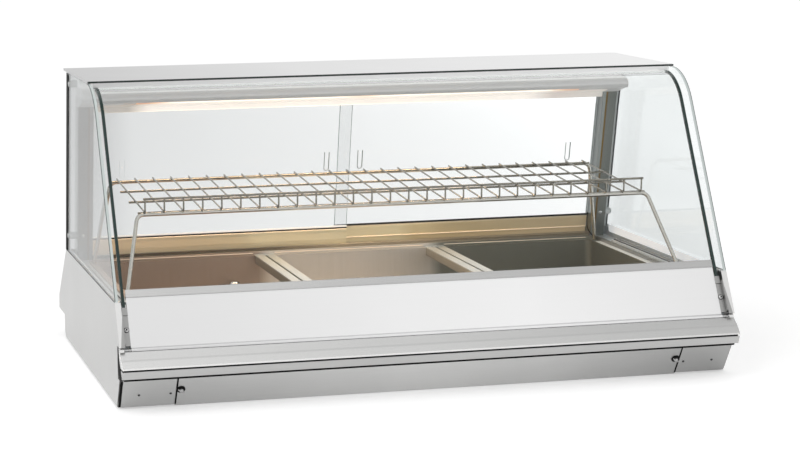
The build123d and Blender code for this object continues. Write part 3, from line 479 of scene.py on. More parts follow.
@dataclass(frozen=True)
class Moulded:
    """Moulded rubber, plastic, ceramic or paint: fine grained skin with a soft shine.

    Attributes:
        name: the material's name.
        colour: main tone, sRGB hex.
        shade: tone of the low spots, sRGB hex.
        roughness: mean roughness.
        grain_mm: size of the skin's grain.
        relief: strength of the grain as bumps.
        glow: colour of its own light, sRGB hex, or nothing.
        strength: strength of its own light.
        backing: tone of all but the side that looks out of the counter, sRGB hex, or nothing.
        shine: level of its mirror shine.
        uneven: how much the roughness changes from spot to spot.
    """

    name: str
    colour: str
    shade: str
    roughness: float = 0.6
    grain_mm: float = 0.8
    relief: float = 0.15
    # glow: colour of its own light, for a lamp or as a painted glow, sRGB hex, or nothing.
    glow: str = ""
    strength: float = 0.0
    backing: str = ""
    shine: float = 0.5
    uneven: float = 0.06

    def build(self) -> Wear:
        """Make the material.

        Returns:
            The finished material.
        """
        material, graph = new_material(self.name)
        place = graph.coords()
        skin = graph.noise(place, self.grain_mm * MM, Detail=2.0)
        colour = graph.mix(skin, linear(self.shade), linear(self.colour))
        if self.backing:
            turn, side = graph.split(graph.coords("Normal"))[0], graph.split(place)[0]
            inside = graph.math("LESS_THAN", graph.math("MULTIPLY", turn, side), 0.2)
            behind = graph.add("NewGeometry", out="Backfacing")
            colour = graph.mix(graph.math("MAXIMUM", inside, behind), colour, linear(self.backing))
        smooth, rough = self.roughness - self.uneven, self.roughness + self.uneven
        light = {"Emission Color": linear(self.glow), "Emission Strength": self.strength} if self.glow else {}
        graph.close({
            "Base Color": colour, "Roughness": graph.span(skin, 0.3, 0.7, smooth, rough),
            "Normal": graph.bump(skin, self.relief), "Specular IOR Level": self.shine, **light,
        })
        return material


@dataclass(frozen=True)
class FrostedGlow:
    """Frosted lamp cover: near white over the lamp, amber where a lamp ends.

    Attributes:
        name: the material's name.
        skin: tone of the frost, sRGB hex.
        middle: colour of its light over a lamp, sRGB hex.
        end: colour of its light at a lamp's end, sRGB hex.
        half_mm: half the cover's length.
        strength: strength of its light.
        gap_mm: half the length of the warmer gap between the two lamps.
        dim: share of the light that is left at a lamp's end, and of the end's colour in the gap.
        ends: where the amber starts and is full, in shares of the half length.
        frost: spots of frost in a metre.
    """

    name: str
    skin: str
    middle: str
    end: str
    half_mm: float
    strength: float
    gap_mm: float = 45.0
    dim: float = 0.35
    ends: Flat = (0.82, 0.99)
    frost: float = 900.0

    def build(self) -> Wear:
        """Make the material.

        Returns:
            The finished material.
        """
        material, graph = new_material(self.name)
        place = graph.coords()
        reach = graph.math("ABSOLUTE", graph.split(place)[0])
        soft = {"interpolation_type": "SMOOTHSTEP"}
        fade = graph.math(
            "MAXIMUM", graph.span(reach, *(share * self.half_mm * MM for share in self.ends), **soft),
            graph.span(reach, 0.0, self.gap_mm * MM, self.dim, 0.0, **soft),
        )
        graph.close({
            "Base Color": linear(self.skin),
            "Roughness": graph.span(graph.noise(place, 1 / self.frost), low=0.5, high=0.7),
            "Emission Color": graph.mix(fade, linear(self.middle), linear(self.end)),
            "Emission Strength": graph.span(fade, low=self.strength, high=self.dim * self.strength),
        })
        return material


def facing(origin: Point, normal: Point, right: Point = (1.0, 0.0, 0.0)) -> Matrix:
    """Give the matrix that stands a shape on a surface, its local Z along the normal.

    Args:
        origin: foot point.
        normal: the way out of the surface.
        right: the way of local X.

    Returns:
        The matrix from the shape's frame to the counter's.
    """
    z = Vector(normal).normalized()
    x = (Vector(right) - z * z.dot(Vector(right))).normalized()
    return Matrix.Translation(origin) @ Matrix((x, z.cross(x), z)).transposed().to_4x4()


def circle(radius: float, count: int) -> list[Flat]:
    """Give points round a circle.

    Args:
        radius: its radius.
        count: how many points.

    Returns:
        The points.
    """
    return [(radius * cos(2 * pi * k / count), radius * sin(2 * pi * k / count)) for k in range(count)]


def outline(corner: Flat, size: Flat, shares: Line) -> list[Flat]:
    """Size a section that is given in shares.

    Args:
        corner: where both shares are nought.
        size: how far a share of one goes, both ways.
        shares: the section's points.

    Returns:
        The points at full size.
    """
    return [(corner[0] + a * size[0], corner[1] + b * size[1]) for a, b in shares]


def both_ends(span: Flat) -> list[Flat]:
    """Repeat a stretch at both ends of the counter.

    Args:
        span: where it starts and ends on the right.

    Returns:
        The left stretch and the right one.
    """
    return [(side * span[0], side * span[1]) for side in SIDES]


class Shape:
    """A mesh in the making, in millimetres of the counter's frame."""

    def __init__(self, name: str) -> None:
        """Start an empty mesh.

        Args:
            name: name of the piece.
        """
        self.name = name
        self.mesh = bmesh.new()

    def _skin(self, rings: list[list[Vector]], capped: bool = True) -> None:
        """Join rings of points by faces; a ring of one point is a pole.

        Args:
            rings: the points of each ring.
            capped: whether the first and the last ring are closed.
        """
        rows = [[self.mesh.verts.new(point) for point in ring] for ring in rings]
        count = max(len(row) for row in rows)
        for low, high in zip(rows, rows[1:]):
            for k in range(count):
                m = (k + 1) % count
                corners = [low[k % len(low)], low[m % len(low)], high[m % len(high)], high[k % len(high)]]
                self.mesh.faces.new(list(dict.fromkeys(corners)))
        for row in (rows[0], rows[-1]) if capped else ():
            self.mesh.faces.new(row)

    def lathe(self, profile: Line, place: Matrix, steps: int = 32) -> None:
        """Spin a profile about local Z.

        Args:
            profile: radius and height of each ring, from one pole or rim to the other.
            place: where the shape stands.
            steps: number of facets.
        """
        self._skin([
            [place @ Vector((x, y, height)) for x, y in circle(radius, steps if radius else 1)]
            for radius, height in profile
        ], capped=False)

    def prism(self, section: Sequence[Flat], start: float, end: float, place: Matrix = ALONG_X) -> None:
        """Stretch a flat section along local Z.

        Args:
            section: corners in local X and Y.
            start, end: local Z of both ends.
            place: where the shape stands.
        """
        self._skin([[place @ Vector((x, y, z)) for x, y in section] for z in (start, end)])

    def tube(self, path: list[Point], section: list[Flat], up: Point) -> None:
        """Draw a section along a path.

        Args:
            path: the path's points.
            section: corners, sideways and upwards.
            up: a way that is never along the path.
        """
        rings = []
        for k, point in enumerate(path):
            way = (Vector(path[min(k + 1, len(path) - 1)]) - Vector(path[max(k - 1, 0)])).normalized()
            side = way.cross(Vector(up)).normalized()
            top = side.cross(way)
            rings.append([Vector(point) + side * a + top * b for a, b in section])
        self._skin(rings)

    def finish(
        self, wear: Wear, body: str, slot: str, replaces: tuple[str, ...] = (), sharp: float = SHARP
    ) -> None:
        """Turn the mesh into a piece that rides a body.

        Args:
            wear: its material.
            body: the body that carries it.
            slot: not used.
            replaces: CAD nodes that it stands in for.
            sharp: edges that turn more than this many degrees stay sharp.
        """
        bmesh.ops.recalc_face_normals(self.mesh, faces=self.mesh.faces)
        bmesh.ops.scale(self.mesh, vec=(MM, MM, MM), verts=self.mesh.verts)
        data = bpy.data.meshes.new(self.name)
        self.mesh.to_mesh(data)
        self.mesh.free()
        data.materials.append(wear)
        piece = bpy.data.objects.new(self.name, data)
        bpy.context.scene.collection.objects.link(piece)
        settle(piece, body, replaces, sharp)


def settle(
    piece: bpy.types.Object, body: str, replaces: tuple[str, ...] = (), sharp: float = SHARP
) -> None:
    """Smooth a piece and hand it to the body that carries it.

    Args:
        piece: the piece, at the origin.
        body: the body that carries it.
        replaces: CAD nodes that it stands in for.
        sharp: edges that turn more than this many degrees stay sharp.
    """
    piece.data.shade_smooth()
    piece.data.set_sharp_from_angle(angle=radians(sharp))
    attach(piece, body)
    if replaces:
        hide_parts(*replaces)
    LOG.info("%s: %d faces on %s", piece.name, len(piece.data.polygons), body)


def stretch(
    name: str, section: Sequence[Flat], spans: Sequence[Flat], wear: Wear, body: str, slot: str,
    replaces: tuple[str, ...] = (),
) -> None:
    """Make a piece of one section that runs along the counter.

    Args:
        name: name of the piece.
        section: corners, Y and Z.
        spans: where each stretch starts and ends across the counter.
        wear: its material.
        body: the body that carries it.
        slot: not used; it is only handed on to the shape's finish.
        replaces: CAD nodes that it stands in for.
    """
    shape = Shape(name)
    for start, end in spans:
        shape.prism(section, start, end)
    shape.finish(wear, body, slot, replaces)


class Nursery:
    """Geometry Nodes trees and the pieces grown from them."""

    @staticmethod
    def _start(name: str, sockets: dict[str, str]) -> tuple[bpy.types.NodeTree, Any]:
        """Start a tree with named inputs.

        Args:
            name: the tree's name.
            sockets: type of each input by its name.

        Returns:
            The tree and the sockets that give the inputs.
        """
        tree = bpy.data.node_groups.new(name, "GeometryNodeTree")
        for label, kind in sockets.items():
            tree.interface.new_socket(label, in_out="INPUT", socket_type=f"NodeSocket{kind}")
        tree.interface.new_socket("Geometry", in_out="OUTPUT", socket_type="NodeSocketGeometry")
        return tree, add_node(tree, "NodeGroupInput").outputs

    @staticmethod
    def _end(tree: bpy.types.NodeTree, instances: dict[str, Socket], material: Socket) -> bpy.types.NodeTree:
        """Set the instances, realize and dress them, and close the tree.

        Args:
            tree: the tree.
            instances: points, instance and how each is turned or scaled.
            material: what they wear.

        Returns:
            The tree.
        """
        many = add_node(tree, "GeometryNodeInstanceOnPoints", instances)
        real = add_node(tree, "GeometryNodeRealizeInstances", {0: many.outputs[0]})
        dressed = add_node(
            tree, "GeometryNodeSetMaterial", {"Geometry": real.outputs[0], "Material": material}
        )
        add_node(tree, "NodeGroupOutput", {0: dressed.outputs[0]})
        return tree

    @classmethod
    def bead_grid(cls) -> bpy.types.NodeTree:
        """Rows and columns of slightly uneven weld beads.

        Returns:
            The tree.
        """
        tree, given = cls._start("bead_grid", {
            "Columns": "Int", "Rows": "Int", "Length": "Float", "Depth": "Float", "Bead Radius": "Float",
            "Seed": "Int", "Material": "Material",
        })
        grid = add_node(tree, "GeometryNodeMeshGrid", {
            "Size X": given["Length"], "Size Y": given["Depth"],
            "Vertices X": given["Columns"], "Vertices Y": given["Rows"],
        })
        bead = add_node(
            tree, "GeometryNodeMeshIcoSphere", {"Radius": given["Bead Radius"], "Subdivisions": 2}
        )
        size = add_node(
            tree, "FunctionNodeRandomValue",
            {0: (0.85, 0.9, 0.6), 1: (1.15, 1.3, 0.8), "Seed": given["Seed"]}, data_type="FLOAT_VECTOR",
        )
        instances = {"Points": grid.outputs[0], "Instance": bead.outputs[0], "Scale": size.outputs[0]}
        return cls._end(tree, instances, given["Material"])

    @classmethod
    def ring_of_bars(cls) -> bpy.types.NodeTree:
        """Small bars set round an arc, each pointing outwards.

        Returns:
            The tree.
        """
        tree, given = cls._start("ring_of_bars", {
            "Count": "Int", "Radius": "Float", "Start": "Float", "Sweep": "Float", "Bar": "Vector",
            "Material": "Material",
        })
        arc = add_node(tree, "GeometryNodeCurveArc", {
            "Resolution": given["Count"], "Radius": given["Radius"],
            "Start Angle": given["Start"], "Sweep Angle": given["Sweep"],
        })
        points = add_node(tree, "GeometryNodeCurveToPoints", {"Curve": arc.outputs[0]}, mode="EVALUATED")
        spots = points.outputs
        bar = add_node(tree, "GeometryNodeMeshCube", {"Size": given["Bar"]}).outputs[0]
        instances = {"Points": spots["Points"], "Instance": bar, "Rotation": spots["Rotation"]}
        return cls._end(tree, instances, given["Material"])

    @staticmethod
    def grow(
        name: str, tree: bpy.types.NodeTree, values: dict[str, Any], place: Matrix
    ) -> bpy.types.Object:
        """Grow a mesh from a tree and stand it in its place.

        Args:
            name: name of the piece.
            tree: the tree to grow from.
            values: value of each named input, lengths in metres.
            place: matrix from the tree's frame to the counter's, in metres.

        Returns:
            The piece with a plain mesh, at the origin.
        """
        host = bpy.data.objects.new(name, bpy.data.meshes.new(name))
        bpy.context.scene.collection.objects.link(host)
        modifier = host.modifiers.new("grow", "NODES")
        modifier.node_group = tree
        for socket in tree.interface.items_tree:
            if socket.in_out == "INPUT":
                modifier[socket.identifier] = values[socket.name]
        graph = bpy.context.evaluated_depsgraph_get()
        mesh = bpy.data.meshes.new_from_object(host.evaluated_get(graph))
        host.modifiers.remove(modifier)
        mesh.transform(place)
        mesh.name = name
        host.data = mesh
        return host


@dataclass
class TopSeal:
    """Dark seal along the front edge of the top panel, where the glass closes; it also stands in for the
    shade in that gap.

    Attributes:
        corner: front upper corner of the panel, Y and Z.
        size: how far the seal goes forward and down.
        shares: its rounded section.
        half: half its length.
    """

    corner: Flat = (-82.7, 532.6)
    size: Flat = (-1.6, -3.4)
    shares: Line = ((0.0, 0.0), (0.7, 0.15), (1.0, 0.5), (0.7, 0.85), (0.0, 1.0))
    half: float = 549.0

    def build(self, rubber: Wear) -> None:
        """Make the seal.

        Args:
            rubber: what it wears.
        """
        section = outline(self.corner, self.size, self.shares)
        stretch("top_front_seal", section, [(-self.half, self.half)], rubber, "base", "black_rubber")


@dataclass
class LampCover:
    """Frosted lamp strip, the pale lit sheet behind it and the canopy's lip before them.

    Attributes:
        front, back: front and rear edge of the canopy's sloping underside.
        half: half the strip's length.
        strip: where the strip starts and ends along the underside, and its bulge.
        sheet_half: half the sheet's length.
        sheet: where the sheet starts and ends along the underside, and its bulge.
        lip: front upper corner of the lip.
        lip_size: how far the lip goes back and down.
        lip_shares: its rolled section.
        lip_half: half the lip's length.
        gap: how far strip and sheet stand off the underside.
        steps: number of facets of a bulge.
    """

    front: Flat = (102.5, 480.0)
    back: Flat = (163.0, 465.0)
    half: float = 432.0
    strip: Point = (4.0, 27.0, 2.0)
    sheet_half: float = 498.0
    sheet: Point = (28.0, 60.0, 0.8)
    lip: Flat = (102.7, 480.0)
    lip_size: Flat = (1.7, -2.4)
    lip_shares: Line = ((0.0, 0.0), (0.0, 0.75), (0.3, 1.0), (0.7, 1.0), (1.0, 0.75), (1.0, 0.0))
    lip_half: float = 529.0
    gap: float = 0.3
    steps: int = 12

    def build(self, frost: Wear, lit: Wear, satin: Wear) -> None:
        """Make the lip as a rolled edge, and strip and sheet as flat arches.

        Args:
            frost: the strip.
            lit: the sheet.
            satin: the lip.
        """
        for name, section, half, wear, slot in (
            ("canopy_front_lip", outline(self.lip, self.lip_size, self.lip_shares), self.lip_half, satin,
             "canopy_aluminium"),
            ("lamp_cover", self._arch(*self.strip), self.half, frost, "lamp_glass"),
            ("lamp_cover_sheet", self._arch(*self.sheet), self.sheet_half, lit, "lamp_glass"),
        ):
            stretch(name, section, [(-half, half)], wear, "base", slot)

    def _arch(self, start: float, end: float, bulge: float) -> list[Flat]:
        """Give the section of a flat arch on the underside.

        Args:
            start, end: where it starts and ends along the underside.
            bulge: how far it stands out.

        Returns:
            The section's points, Y and Z.
        """
        run = (Vector(self.back) - Vector(self.front)).normalized()
        out = Vector((run.y, -run.x))
        points = []
        for k in range(self.steps + 1):
            share = k / self.steps
            along = run * (start + (end - start) * share)
            points.append(tuple(Vector(self.front) + along + out * (self.gap + bulge * sin(pi * share))))
        return points


@dataclass
class BaseHardware:
    """Thumb screws of the service cover and pop rivets of the corner pieces.

    Attributes:
        foot: lower edge of the leaning base front, Y and Z.
        run, rise: how far the base front leans forward over its height.
        screw: place of the right thumb screw, across and up.
        rivets: places of the right rivets, across and up.
        washer, head, rivet: their profiles.
        wing: outline of a screw's wing.
        wing_z: lower and upper face of the wings.
        wing_turns: where the wings point, in degrees.
    """

    foot: Flat = (-348.5, 3.0)
    run: float = 38.0
    rise: float = 53.0
    screw: Flat = (445.0, 33.0)
    rivets: Line = ((516.0, 26.0), (462.0, 26.0))
    washer: Line = ((0, 0.1), (7.4, 0.1), (7.4, 1.2), (6.6, 2.0), (4.2, 2.0), (0, 1.8))
    head: Line = ((0, 1.5), (4.0, 1.5), (4.0, 3.0), (3.6, 4.4), (2.9, 5.2), (1.2, 5.6), (0, 5.6))
    rivet: Line = ((0, 0.05), (2.2, 0.05), (2.2, 0.5), (1.7, 1.0), (1.0, 1.15), (0.8, 0.5), (0, 0.45))
    wing: Line = ((-1.2, 0.0), (1.2, 0.0), (1.5, 5.2), (0.9, 6.4), (-0.9, 6.4), (-1.5, 5.2))
    wing_z: Flat = (2.2, 5.4)
    wing_turns: Flat = (-125.0, 55.0)

    def _spot(self, x: float, z: float) -> Matrix:
        """Give the matrix of a place on the base front.

        Args:
            x: place along the counter.
            z: level above the table.

        Returns:
            Matrix with local Z out of the base front.
        """
        y = self.foot[0] - (z - self.foot[1]) * self.run / self.rise
        return facing((x, y, z), (0.0, -self.rise, -self.run))

    def build(self, rubber: Wear, steel: Wear, dark: Wear) -> None:
        """Make washers, heads, wings and rivets.

        Args:
            rubber: washers.
            steel: screw heads.
            dark: rivets, dark grey as painted shade of their dimples.
        """
        washers, heads, rivets = Shape("cover_washers"), Shape("cover_thumb_screws"), Shape("pop_rivets")
        for side in SIDES:
            spot = self._spot(side * self.screw[0], self.screw[1])
            washers.lathe(self.washer, spot)
            heads.lathe(self.head, spot, 24)
            for turn in self.wing_turns:
                heads.prism(self.wing, *self.wing_z, spot @ Matrix.Rotation(radians(turn), 4, "Z"))
            for x, z in self.rivets:
                rivets.lathe(self.rivet, self._spot(side * x, z), 20)
        washers.finish(rubber, "cover", "black_rubber")
        heads.finish(steel, "cover", "screw_steel", ("cover_screws",))
        rivets.finish(dark, "base", "screw_steel", ("corner_rivets",))


@dataclass
class StripScrews:
    """Button heads on the end strips of the tilting front.

    Attributes:
        place: foot of the right screw.
        head: profile of a head with its hexagon socket.
        core: profile of a socket's floor, dark grey as painted shade.
        washer: profile of the washer below a head.
    """

    place: Point = (533.75, -360.77, 137.41)
    head: Line = (
        (0, 0.1), (4.2, 0.1), (4.2, 0.75), (3.57, 2.1), (2.52, 2.85), (1.7, 3.0), (1.7, 1.8), (0, 1.8),
    )
    core: Line = ((0, 1.85), (1.7, 1.85), (0, 2.2))
    washer: Line = ((4.2, 0.02), (4.9, 0.02), (4.8, 0.5), (4.2, 0.5), (4.2, 0.02))

    def build(self, steel: Wear, dark: Wear) -> None:
        """Make the heads and the dark sockets in them.

        Args:
            steel: the heads.
            dark: the sockets and the washers below the heads, dark grey as painted shade.
        """
        heads, sockets = Shape("strip_button_screws"), Shape("strip_screw_sockets")
        slope = radians(FRONT_SLOPE)
        x, y, z = self.place
        for side in SIDES:
            spot = facing((side * x, y, z), (0.0, -sin(slope), cos(slope)))
            heads.lathe(self.head, spot, 28)
            sockets.lathe(self.core, spot, 6)
            sockets.lathe(self.washer, spot, 28)
        heads.finish(steel, "flap", "screw_steel", ("strip_screws",))
        sockets.finish(dark, "flap", "screw_steel")


@dataclass
class ShelfWelds:
    """Weld beads where the shelf's cross wires meet the rods and the long wires.

    Attributes:
        front, back: middle of the front and the rear rod's axis.
        half: half the reach of the outermost cross wires.
        columns: number of cross wires.
        first: distance of the first long wire from a rod.
        lift: height of the beads above the plane of the rods.
        radius: size of a bead.
        rows: name, number of rows and seed of the beads on rods and on long wires.
    """

    front: Flat = (-140.0, 300.0)
    back: Flat = (175.0, 320.0)
    half: float = 463.0
    columns: int = 28
    first: float = 6.5
    lift: float = 3.4
    radius: float = 1.75
    rows: tuple[tuple[str, int, int], ...] = (("rod_weld_beads", 2, 3), ("long_wire_weld_beads", 4, 8))

    def build(self, tree: bpy.types.NodeTree, wire: Wear) -> None:
        """Grow the beads.

        Args:
            tree: tree that grows rows of beads.
            wire: what they wear.
        """
        front, back = Vector((0, *self.front)), Vector((0, *self.back))
        depth = (back - front).length
        slope = (back - front).normalized()
        normal = Vector((0, -slope.z, slope.y))
        place = facing(tuple((front + back) / 2 * MM + normal * self.lift * MM), tuple(normal))
        for (name, rows, seed), reach in zip(self.rows, (depth, depth - 2 * self.first)):
            values = {
                "Columns": self.columns, "Rows": rows, "Length": 2 * self.half * MM, "Depth": reach * MM,
                "Bead Radius": self.radius * MM, "Seed": seed, "Material": wire,
            }
            settle(Nursery.grow(name, tree, values, place), "shelf", sharp=ROUNDED)


@dataclass
class DeckTrim:
    """Grooved trims on the ends of the deck, profiles below the side glass, edgings on the tank's ledges.

    Attributes:
        inner: inner lower corner of a trim, across and up.
        height: height of its ribs.
        ribs: section of a trim, across in millimetres and up in shares of the height.
        trim_y: ends of a trim.
        profile_x: where a glazing profile starts and ends across the counter.
        profile_z: lower and upper end of the left and the right profile.
        profile_nick: how far a profile's inner upper edge is cut off, across and down.
        profile_y: ends of the profiles.
        ledge: section of an edging, across and up.
        ledge_y: ends of an edging.
    """

    inner: Flat = (517.0, 165.1)
    height: float = 5.0
    ribs: Line = (
        (0.0, 0.0), (0.0, 0.5), (1.0, 0.6), (3.5, 0.6), (4.5, 0.2), (6.0, 0.2), (7.0, 0.8), (10.5, 0.8),
        (11.5, 0.25), (13.0, 0.25), (14.0, 1.0), (21.0, 1.0), (21.0, 0.0),
    )
    trim_y: Flat = (-268.0, 160.0)
    profile_x: Flat = (537.5, 538.4)
    profile_z: Line = ((174.0, 183.0), (174.0, 188.5))
    profile_nick: Flat = (0.4, 0.6)
    profile_y: Flat = (-268.0, 228.0)
    ledge: Line = (
        (496.0, 160.05), (507.9, 160.05), (507.9, 166.3), (507.2, 166.3), (507.2, 161.6), (506.2, 160.9),
        (496.4, 160.9),
    )
    ledge_y: Flat = (-255.0, 190.0)

    def build(self, metal: Wear, white: Wear, bright: Wear, shade_painted: Wear) -> None:
        """Make trims, profiles and edgings.

        Args:
            metal: the trims.
            white: the profiles.
            bright: the right edging, with a painted highlight and glow for the room it mirrors.
            shade_painted: the left edging, which wears the tank's painted shade.
        """
        trims, profiles = Shape("deck_side_trims"), Shape("deck_glass_profiles")
        ribs = outline(self.inner, (1.0, self.height), self.ribs)
        (near, far), (aside, down) = self.profile_x, self.profile_nick
        for side, (low, high) in zip(SIDES, self.profile_z):
            across = self._across(side)
            trims.prism(ribs, *self.trim_y, across)
            section = [(near, low), (far, low), (far, high), (near + aside, high), (near, high - down)]
            profiles.prism(section, *self.profile_y, across)
        trims.finish(metal, "base", "deck_steel", sharp=CRISP)
        profiles.finish(white, "base", "deck_steel", sharp=CRISP)
        for side, name, wear in zip(SIDES, ("left_ledge_edging", "right_ledge_edging"), (shade_painted, bright)):
            edging = Shape(name)
            edging.prism(self.ledge, *self.ledge_y, self._across(side))
            edging.finish(wear, "base", "tank_steel", sharp=CRISP)

    @staticmethod
    def _across(side: int) -> Matrix:
        """Turn a section across the counter so that it runs from front to back.

        Args:
            side: -1 for the left end, 1 for the right.

        Returns:
            The matrix.
        """
        return Matrix(((side, 0, 0, 0), (0, 0, 1, 0), (0, 1, 0, 0), (0, 0, 0, 1)))


@dataclass
class DoorBuffers:
    """Black seals on the posts' inner faces, which turn forward along the deck at the foot.

    Attributes:
        x: inner face of the right post.
        line: the seal's line from top to toe, Y and Z.
        half: half the strip's width and half its thickness.
        shares: its section with a rounded back.
    """

    x: float = 500.9
    line: Line = (
        (252.5, 211.0), (254.5, 204.0), (255.5, 195.0), (253.5, 185.0), (248.0, 177.5), (239.0, 172.6),
        (228.0, 169.8), (218.0, 168.4), (206.0, 168.0),
    )
    half: Flat = (1.4, 0.45)
    shares: Line = ((-1.0, -1.0), (1.0, -1.0), (1.0, 0.3), (0.4, 1.0), (-0.4, 1.0), (-1.0, 0.3))

    def build(self, rubber: Wear) -> None:
        """Make both seals.

        Args:
            rubber: what they wear.
        """
        shape = Shape("door_buffers")
        section = outline((0.0, 0.0), self.half, self.shares)
        for side in SIDES:
            path = [(side * (self.x - self.half[1]), y, z) for y, z in self.line]
            shape.tube(path, section, (-side, 0.0, 0.0))
        shape.finish(rubber, "base", "black_rubber")


@dataclass
class PostFittings:
    """Screws and plugged slots on the front faces of the rear posts.

    Attributes:
        x: middle of the right post.
        face: front face of a post at deck level, Y and Z.
        screw_rise, plug_rise: heights above the deck.
        screw: profile of a screw.
        plug: radius of a plug, half its straight length, and its lower and upper face.
        steps: number of facets of a screw and of a plug.
    """

    x: float = 518.5
    face: Flat = (238.7, 165.0)
    screw_rise: float = 49.0
    plug_rise: float = 84.0
    screw: Line = ((0, 0.05), (3.6, 0.05), (3.5, 1.0), (2.6, 1.9), (1.2, 2.2), (1.0, 1.4), (0, 1.4))
    plug: tuple[float, ...] = (3.6, 3.0, 0.05, 0.9)
    steps: int = 24

    def build(self, steel: Wear, dark: Wear) -> None:
        """Make the screws and the plugs.

        Args:
            steel: the screws.
            dark: the plugs.
        """
        screws, plugs = Shape("post_screws"), Shape("post_slot_plugs")
        radius, half, low, high = self.plug
        ring = enumerate(circle(radius, self.steps))
        slot = [(x, y + (half if k < self.steps / 2 else -half)) for k, (x, y) in ring]
        for side in SIDES:
            screws.lathe(self.screw, self._spot(side, self.screw_rise), self.steps)
            plugs.prism(slot, low, high, self._spot(side, self.plug_rise))
        screws.finish(steel, "base", "screw_steel")
        plugs.finish(dark, "base", "black_plastic")

    def _spot(self, side: int, rise: float) -> Matrix:
        """Give the matrix of a place on a post's front face.

        Args:
            side: -1 for the left post, 1 for the right.
            rise: height above the deck.

        Returns:
            Matrix with local Z out of the face.
        """
        y, z = self.face
        return facing((side * self.x, y - REAR_LEAN * rise, z + rise), (0.0, -1.0, -REAR_LEAN))


@dataclass
class Controls:
    """Grip and pointer of the thermostat knob, and the print on the control plate.

    Attributes:
        origin: middle of the control plate's foot.
        normal: the way out of the rear slope.
        plate: thickness of the plate.
        knob: place of the knob along the plate.
        ribs: number of ribs on the grip.
        rib: radius at which they stand and height of their middles.
        rib_size: size of a rib.
        ticks: number of ticks of the dial, radius of their ring, and where it starts and how far it goes.
        tick_size: size of a tick.
        pointer: outline of the pointer.
        pointer_z: its lower and upper face.
        dial: temperatures with the angles at which they stand.
        dial_radius: radius of their ring.
        switches: places of the two rocker switches.
        sign: how far the signs stand above and below a switch.
        letter: height and half the thickness of the print.
        tick_lift, print_lift: how far ticks and figures stand off the plate.
    """

    origin: Point = (330.0, 341.75, 128.0)
    normal: Point = (0.0, 0.6434, 0.7655)
    plate: float = 1.0
    knob: float = -72.0
    ribs: int = 28
    rib: Flat = (16.6, 13.4)
    rib_size: Point = (1.3, 1.3, 9.0)
    ticks: tuple[float, ...] = (13, 27.0, -45.0, 270.0)
    tick_size: Point = (0.7, 3.6, 0.12)
    pointer: Line = ((-0.9, 5.0), (0.9, 5.0), (0.9, 14.0), (0, 15.2), (-0.9, 14.0))
    pointer_z: Flat = (20.2, 20.5)
    dial: tuple[tuple[str, float], ...] = (
        ("0", 225), ("30", 157.5), ("50", 112.5), ("60", 67.5), ("70", 22.5), ("90", -45),
    )
    dial_radius: float = 34.0
    switches: Flat = (-6.0, 30.0)
    sign: float = 20.5
    letter: Flat = (5.0, 0.05)
    tick_lift: float = 0.06
    print_lift: float = 0.07

    def build(self, tree: bpy.types.NodeTree, plastic: Wear, paint: Wear, ink: Wear) -> None:
        """Make ribs, ticks, pointer and figures.

        Args:
            tree: tree that grows bars round an arc.
            plastic: the knob's grip.
            paint: the white pointer.
            ink: the print.
        """
        plane = facing(self.origin, self.normal, (-1.0, 0.0, 0.0))
        knob = plane @ Matrix.Translation((self.knob, 0, 0))
        radius, middle = self.rib
        count, ring, start, sweep = self.ticks
        turn = 360.0 * (self.ribs - 1) / self.ribs
        for name, body, slot, wear, number, r, z, first, whole, size in (
            ("knob_ribs", "knob", "black_plastic", plastic, self.ribs, radius, middle, 0.0, turn,
             self.rib_size),
            ("dial_ticks", "base", "control_aluminium", ink, count, ring, self.plate + self.tick_lift, start,
             sweep, self.tick_size),
        ):
            values = {
                "Count": number, "Radius": r * MM, "Start": radians(first), "Sweep": radians(whole),
                "Bar": [s * MM for s in size], "Material": wear,
            }
            place = Matrix.Scale(MM, 4) @ knob @ Matrix.Translation((0, 0, z)) @ Matrix.Scale(1 / MM, 4)
            settle(Nursery.grow(name, tree, values, place), body)
        pointer = Shape("knob_pointer")
        pointer.prism(self.pointer, *self.pointer_z, knob)
        pointer.finish(paint, "knob", "black_plastic")
        self._figures(plane, ink)

    def _figures(self, plane: Matrix, ink: Wear) -> None:
        """Print the temperatures round the knob and the signs of the switches.

        Args:
            plane: the rear slope's matrix.
            ink: the print.
        """
        marks = [
            (text, self.knob + self.dial_radius * cos(radians(a)), self.dial_radius * sin(radians(a)))
            for text, a in self.dial
        ]
        for x in self.switches:
            marks += [("I", x, self.sign), ("O", x, -self.sign)]
        shape = Shape("control_print")
        for text, x, y in marks:
            curve = bpy.data.curves.new("figure", "FONT")
            curve.body = text
            curve.size, curve.extrude = self.letter
            curve.align_x, curve.align_y = "CENTER", "CENTER"
            holder = bpy.data.objects.new("figure", curve)
            bpy.context.scene.collection.objects.link(holder)
            graph = bpy.context.evaluated_depsgraph_get()
            mesh = bpy.data.meshes.new_from_object(holder.evaluated_get(graph))
            mesh.transform(plane @ Matrix.Translation((x, y, self.plate + self.print_lift)))
            shape.mesh.from_mesh(mesh)
            bpy.data.objects.remove(holder)
        shape.finish(ink, "base", "control_aluminium")


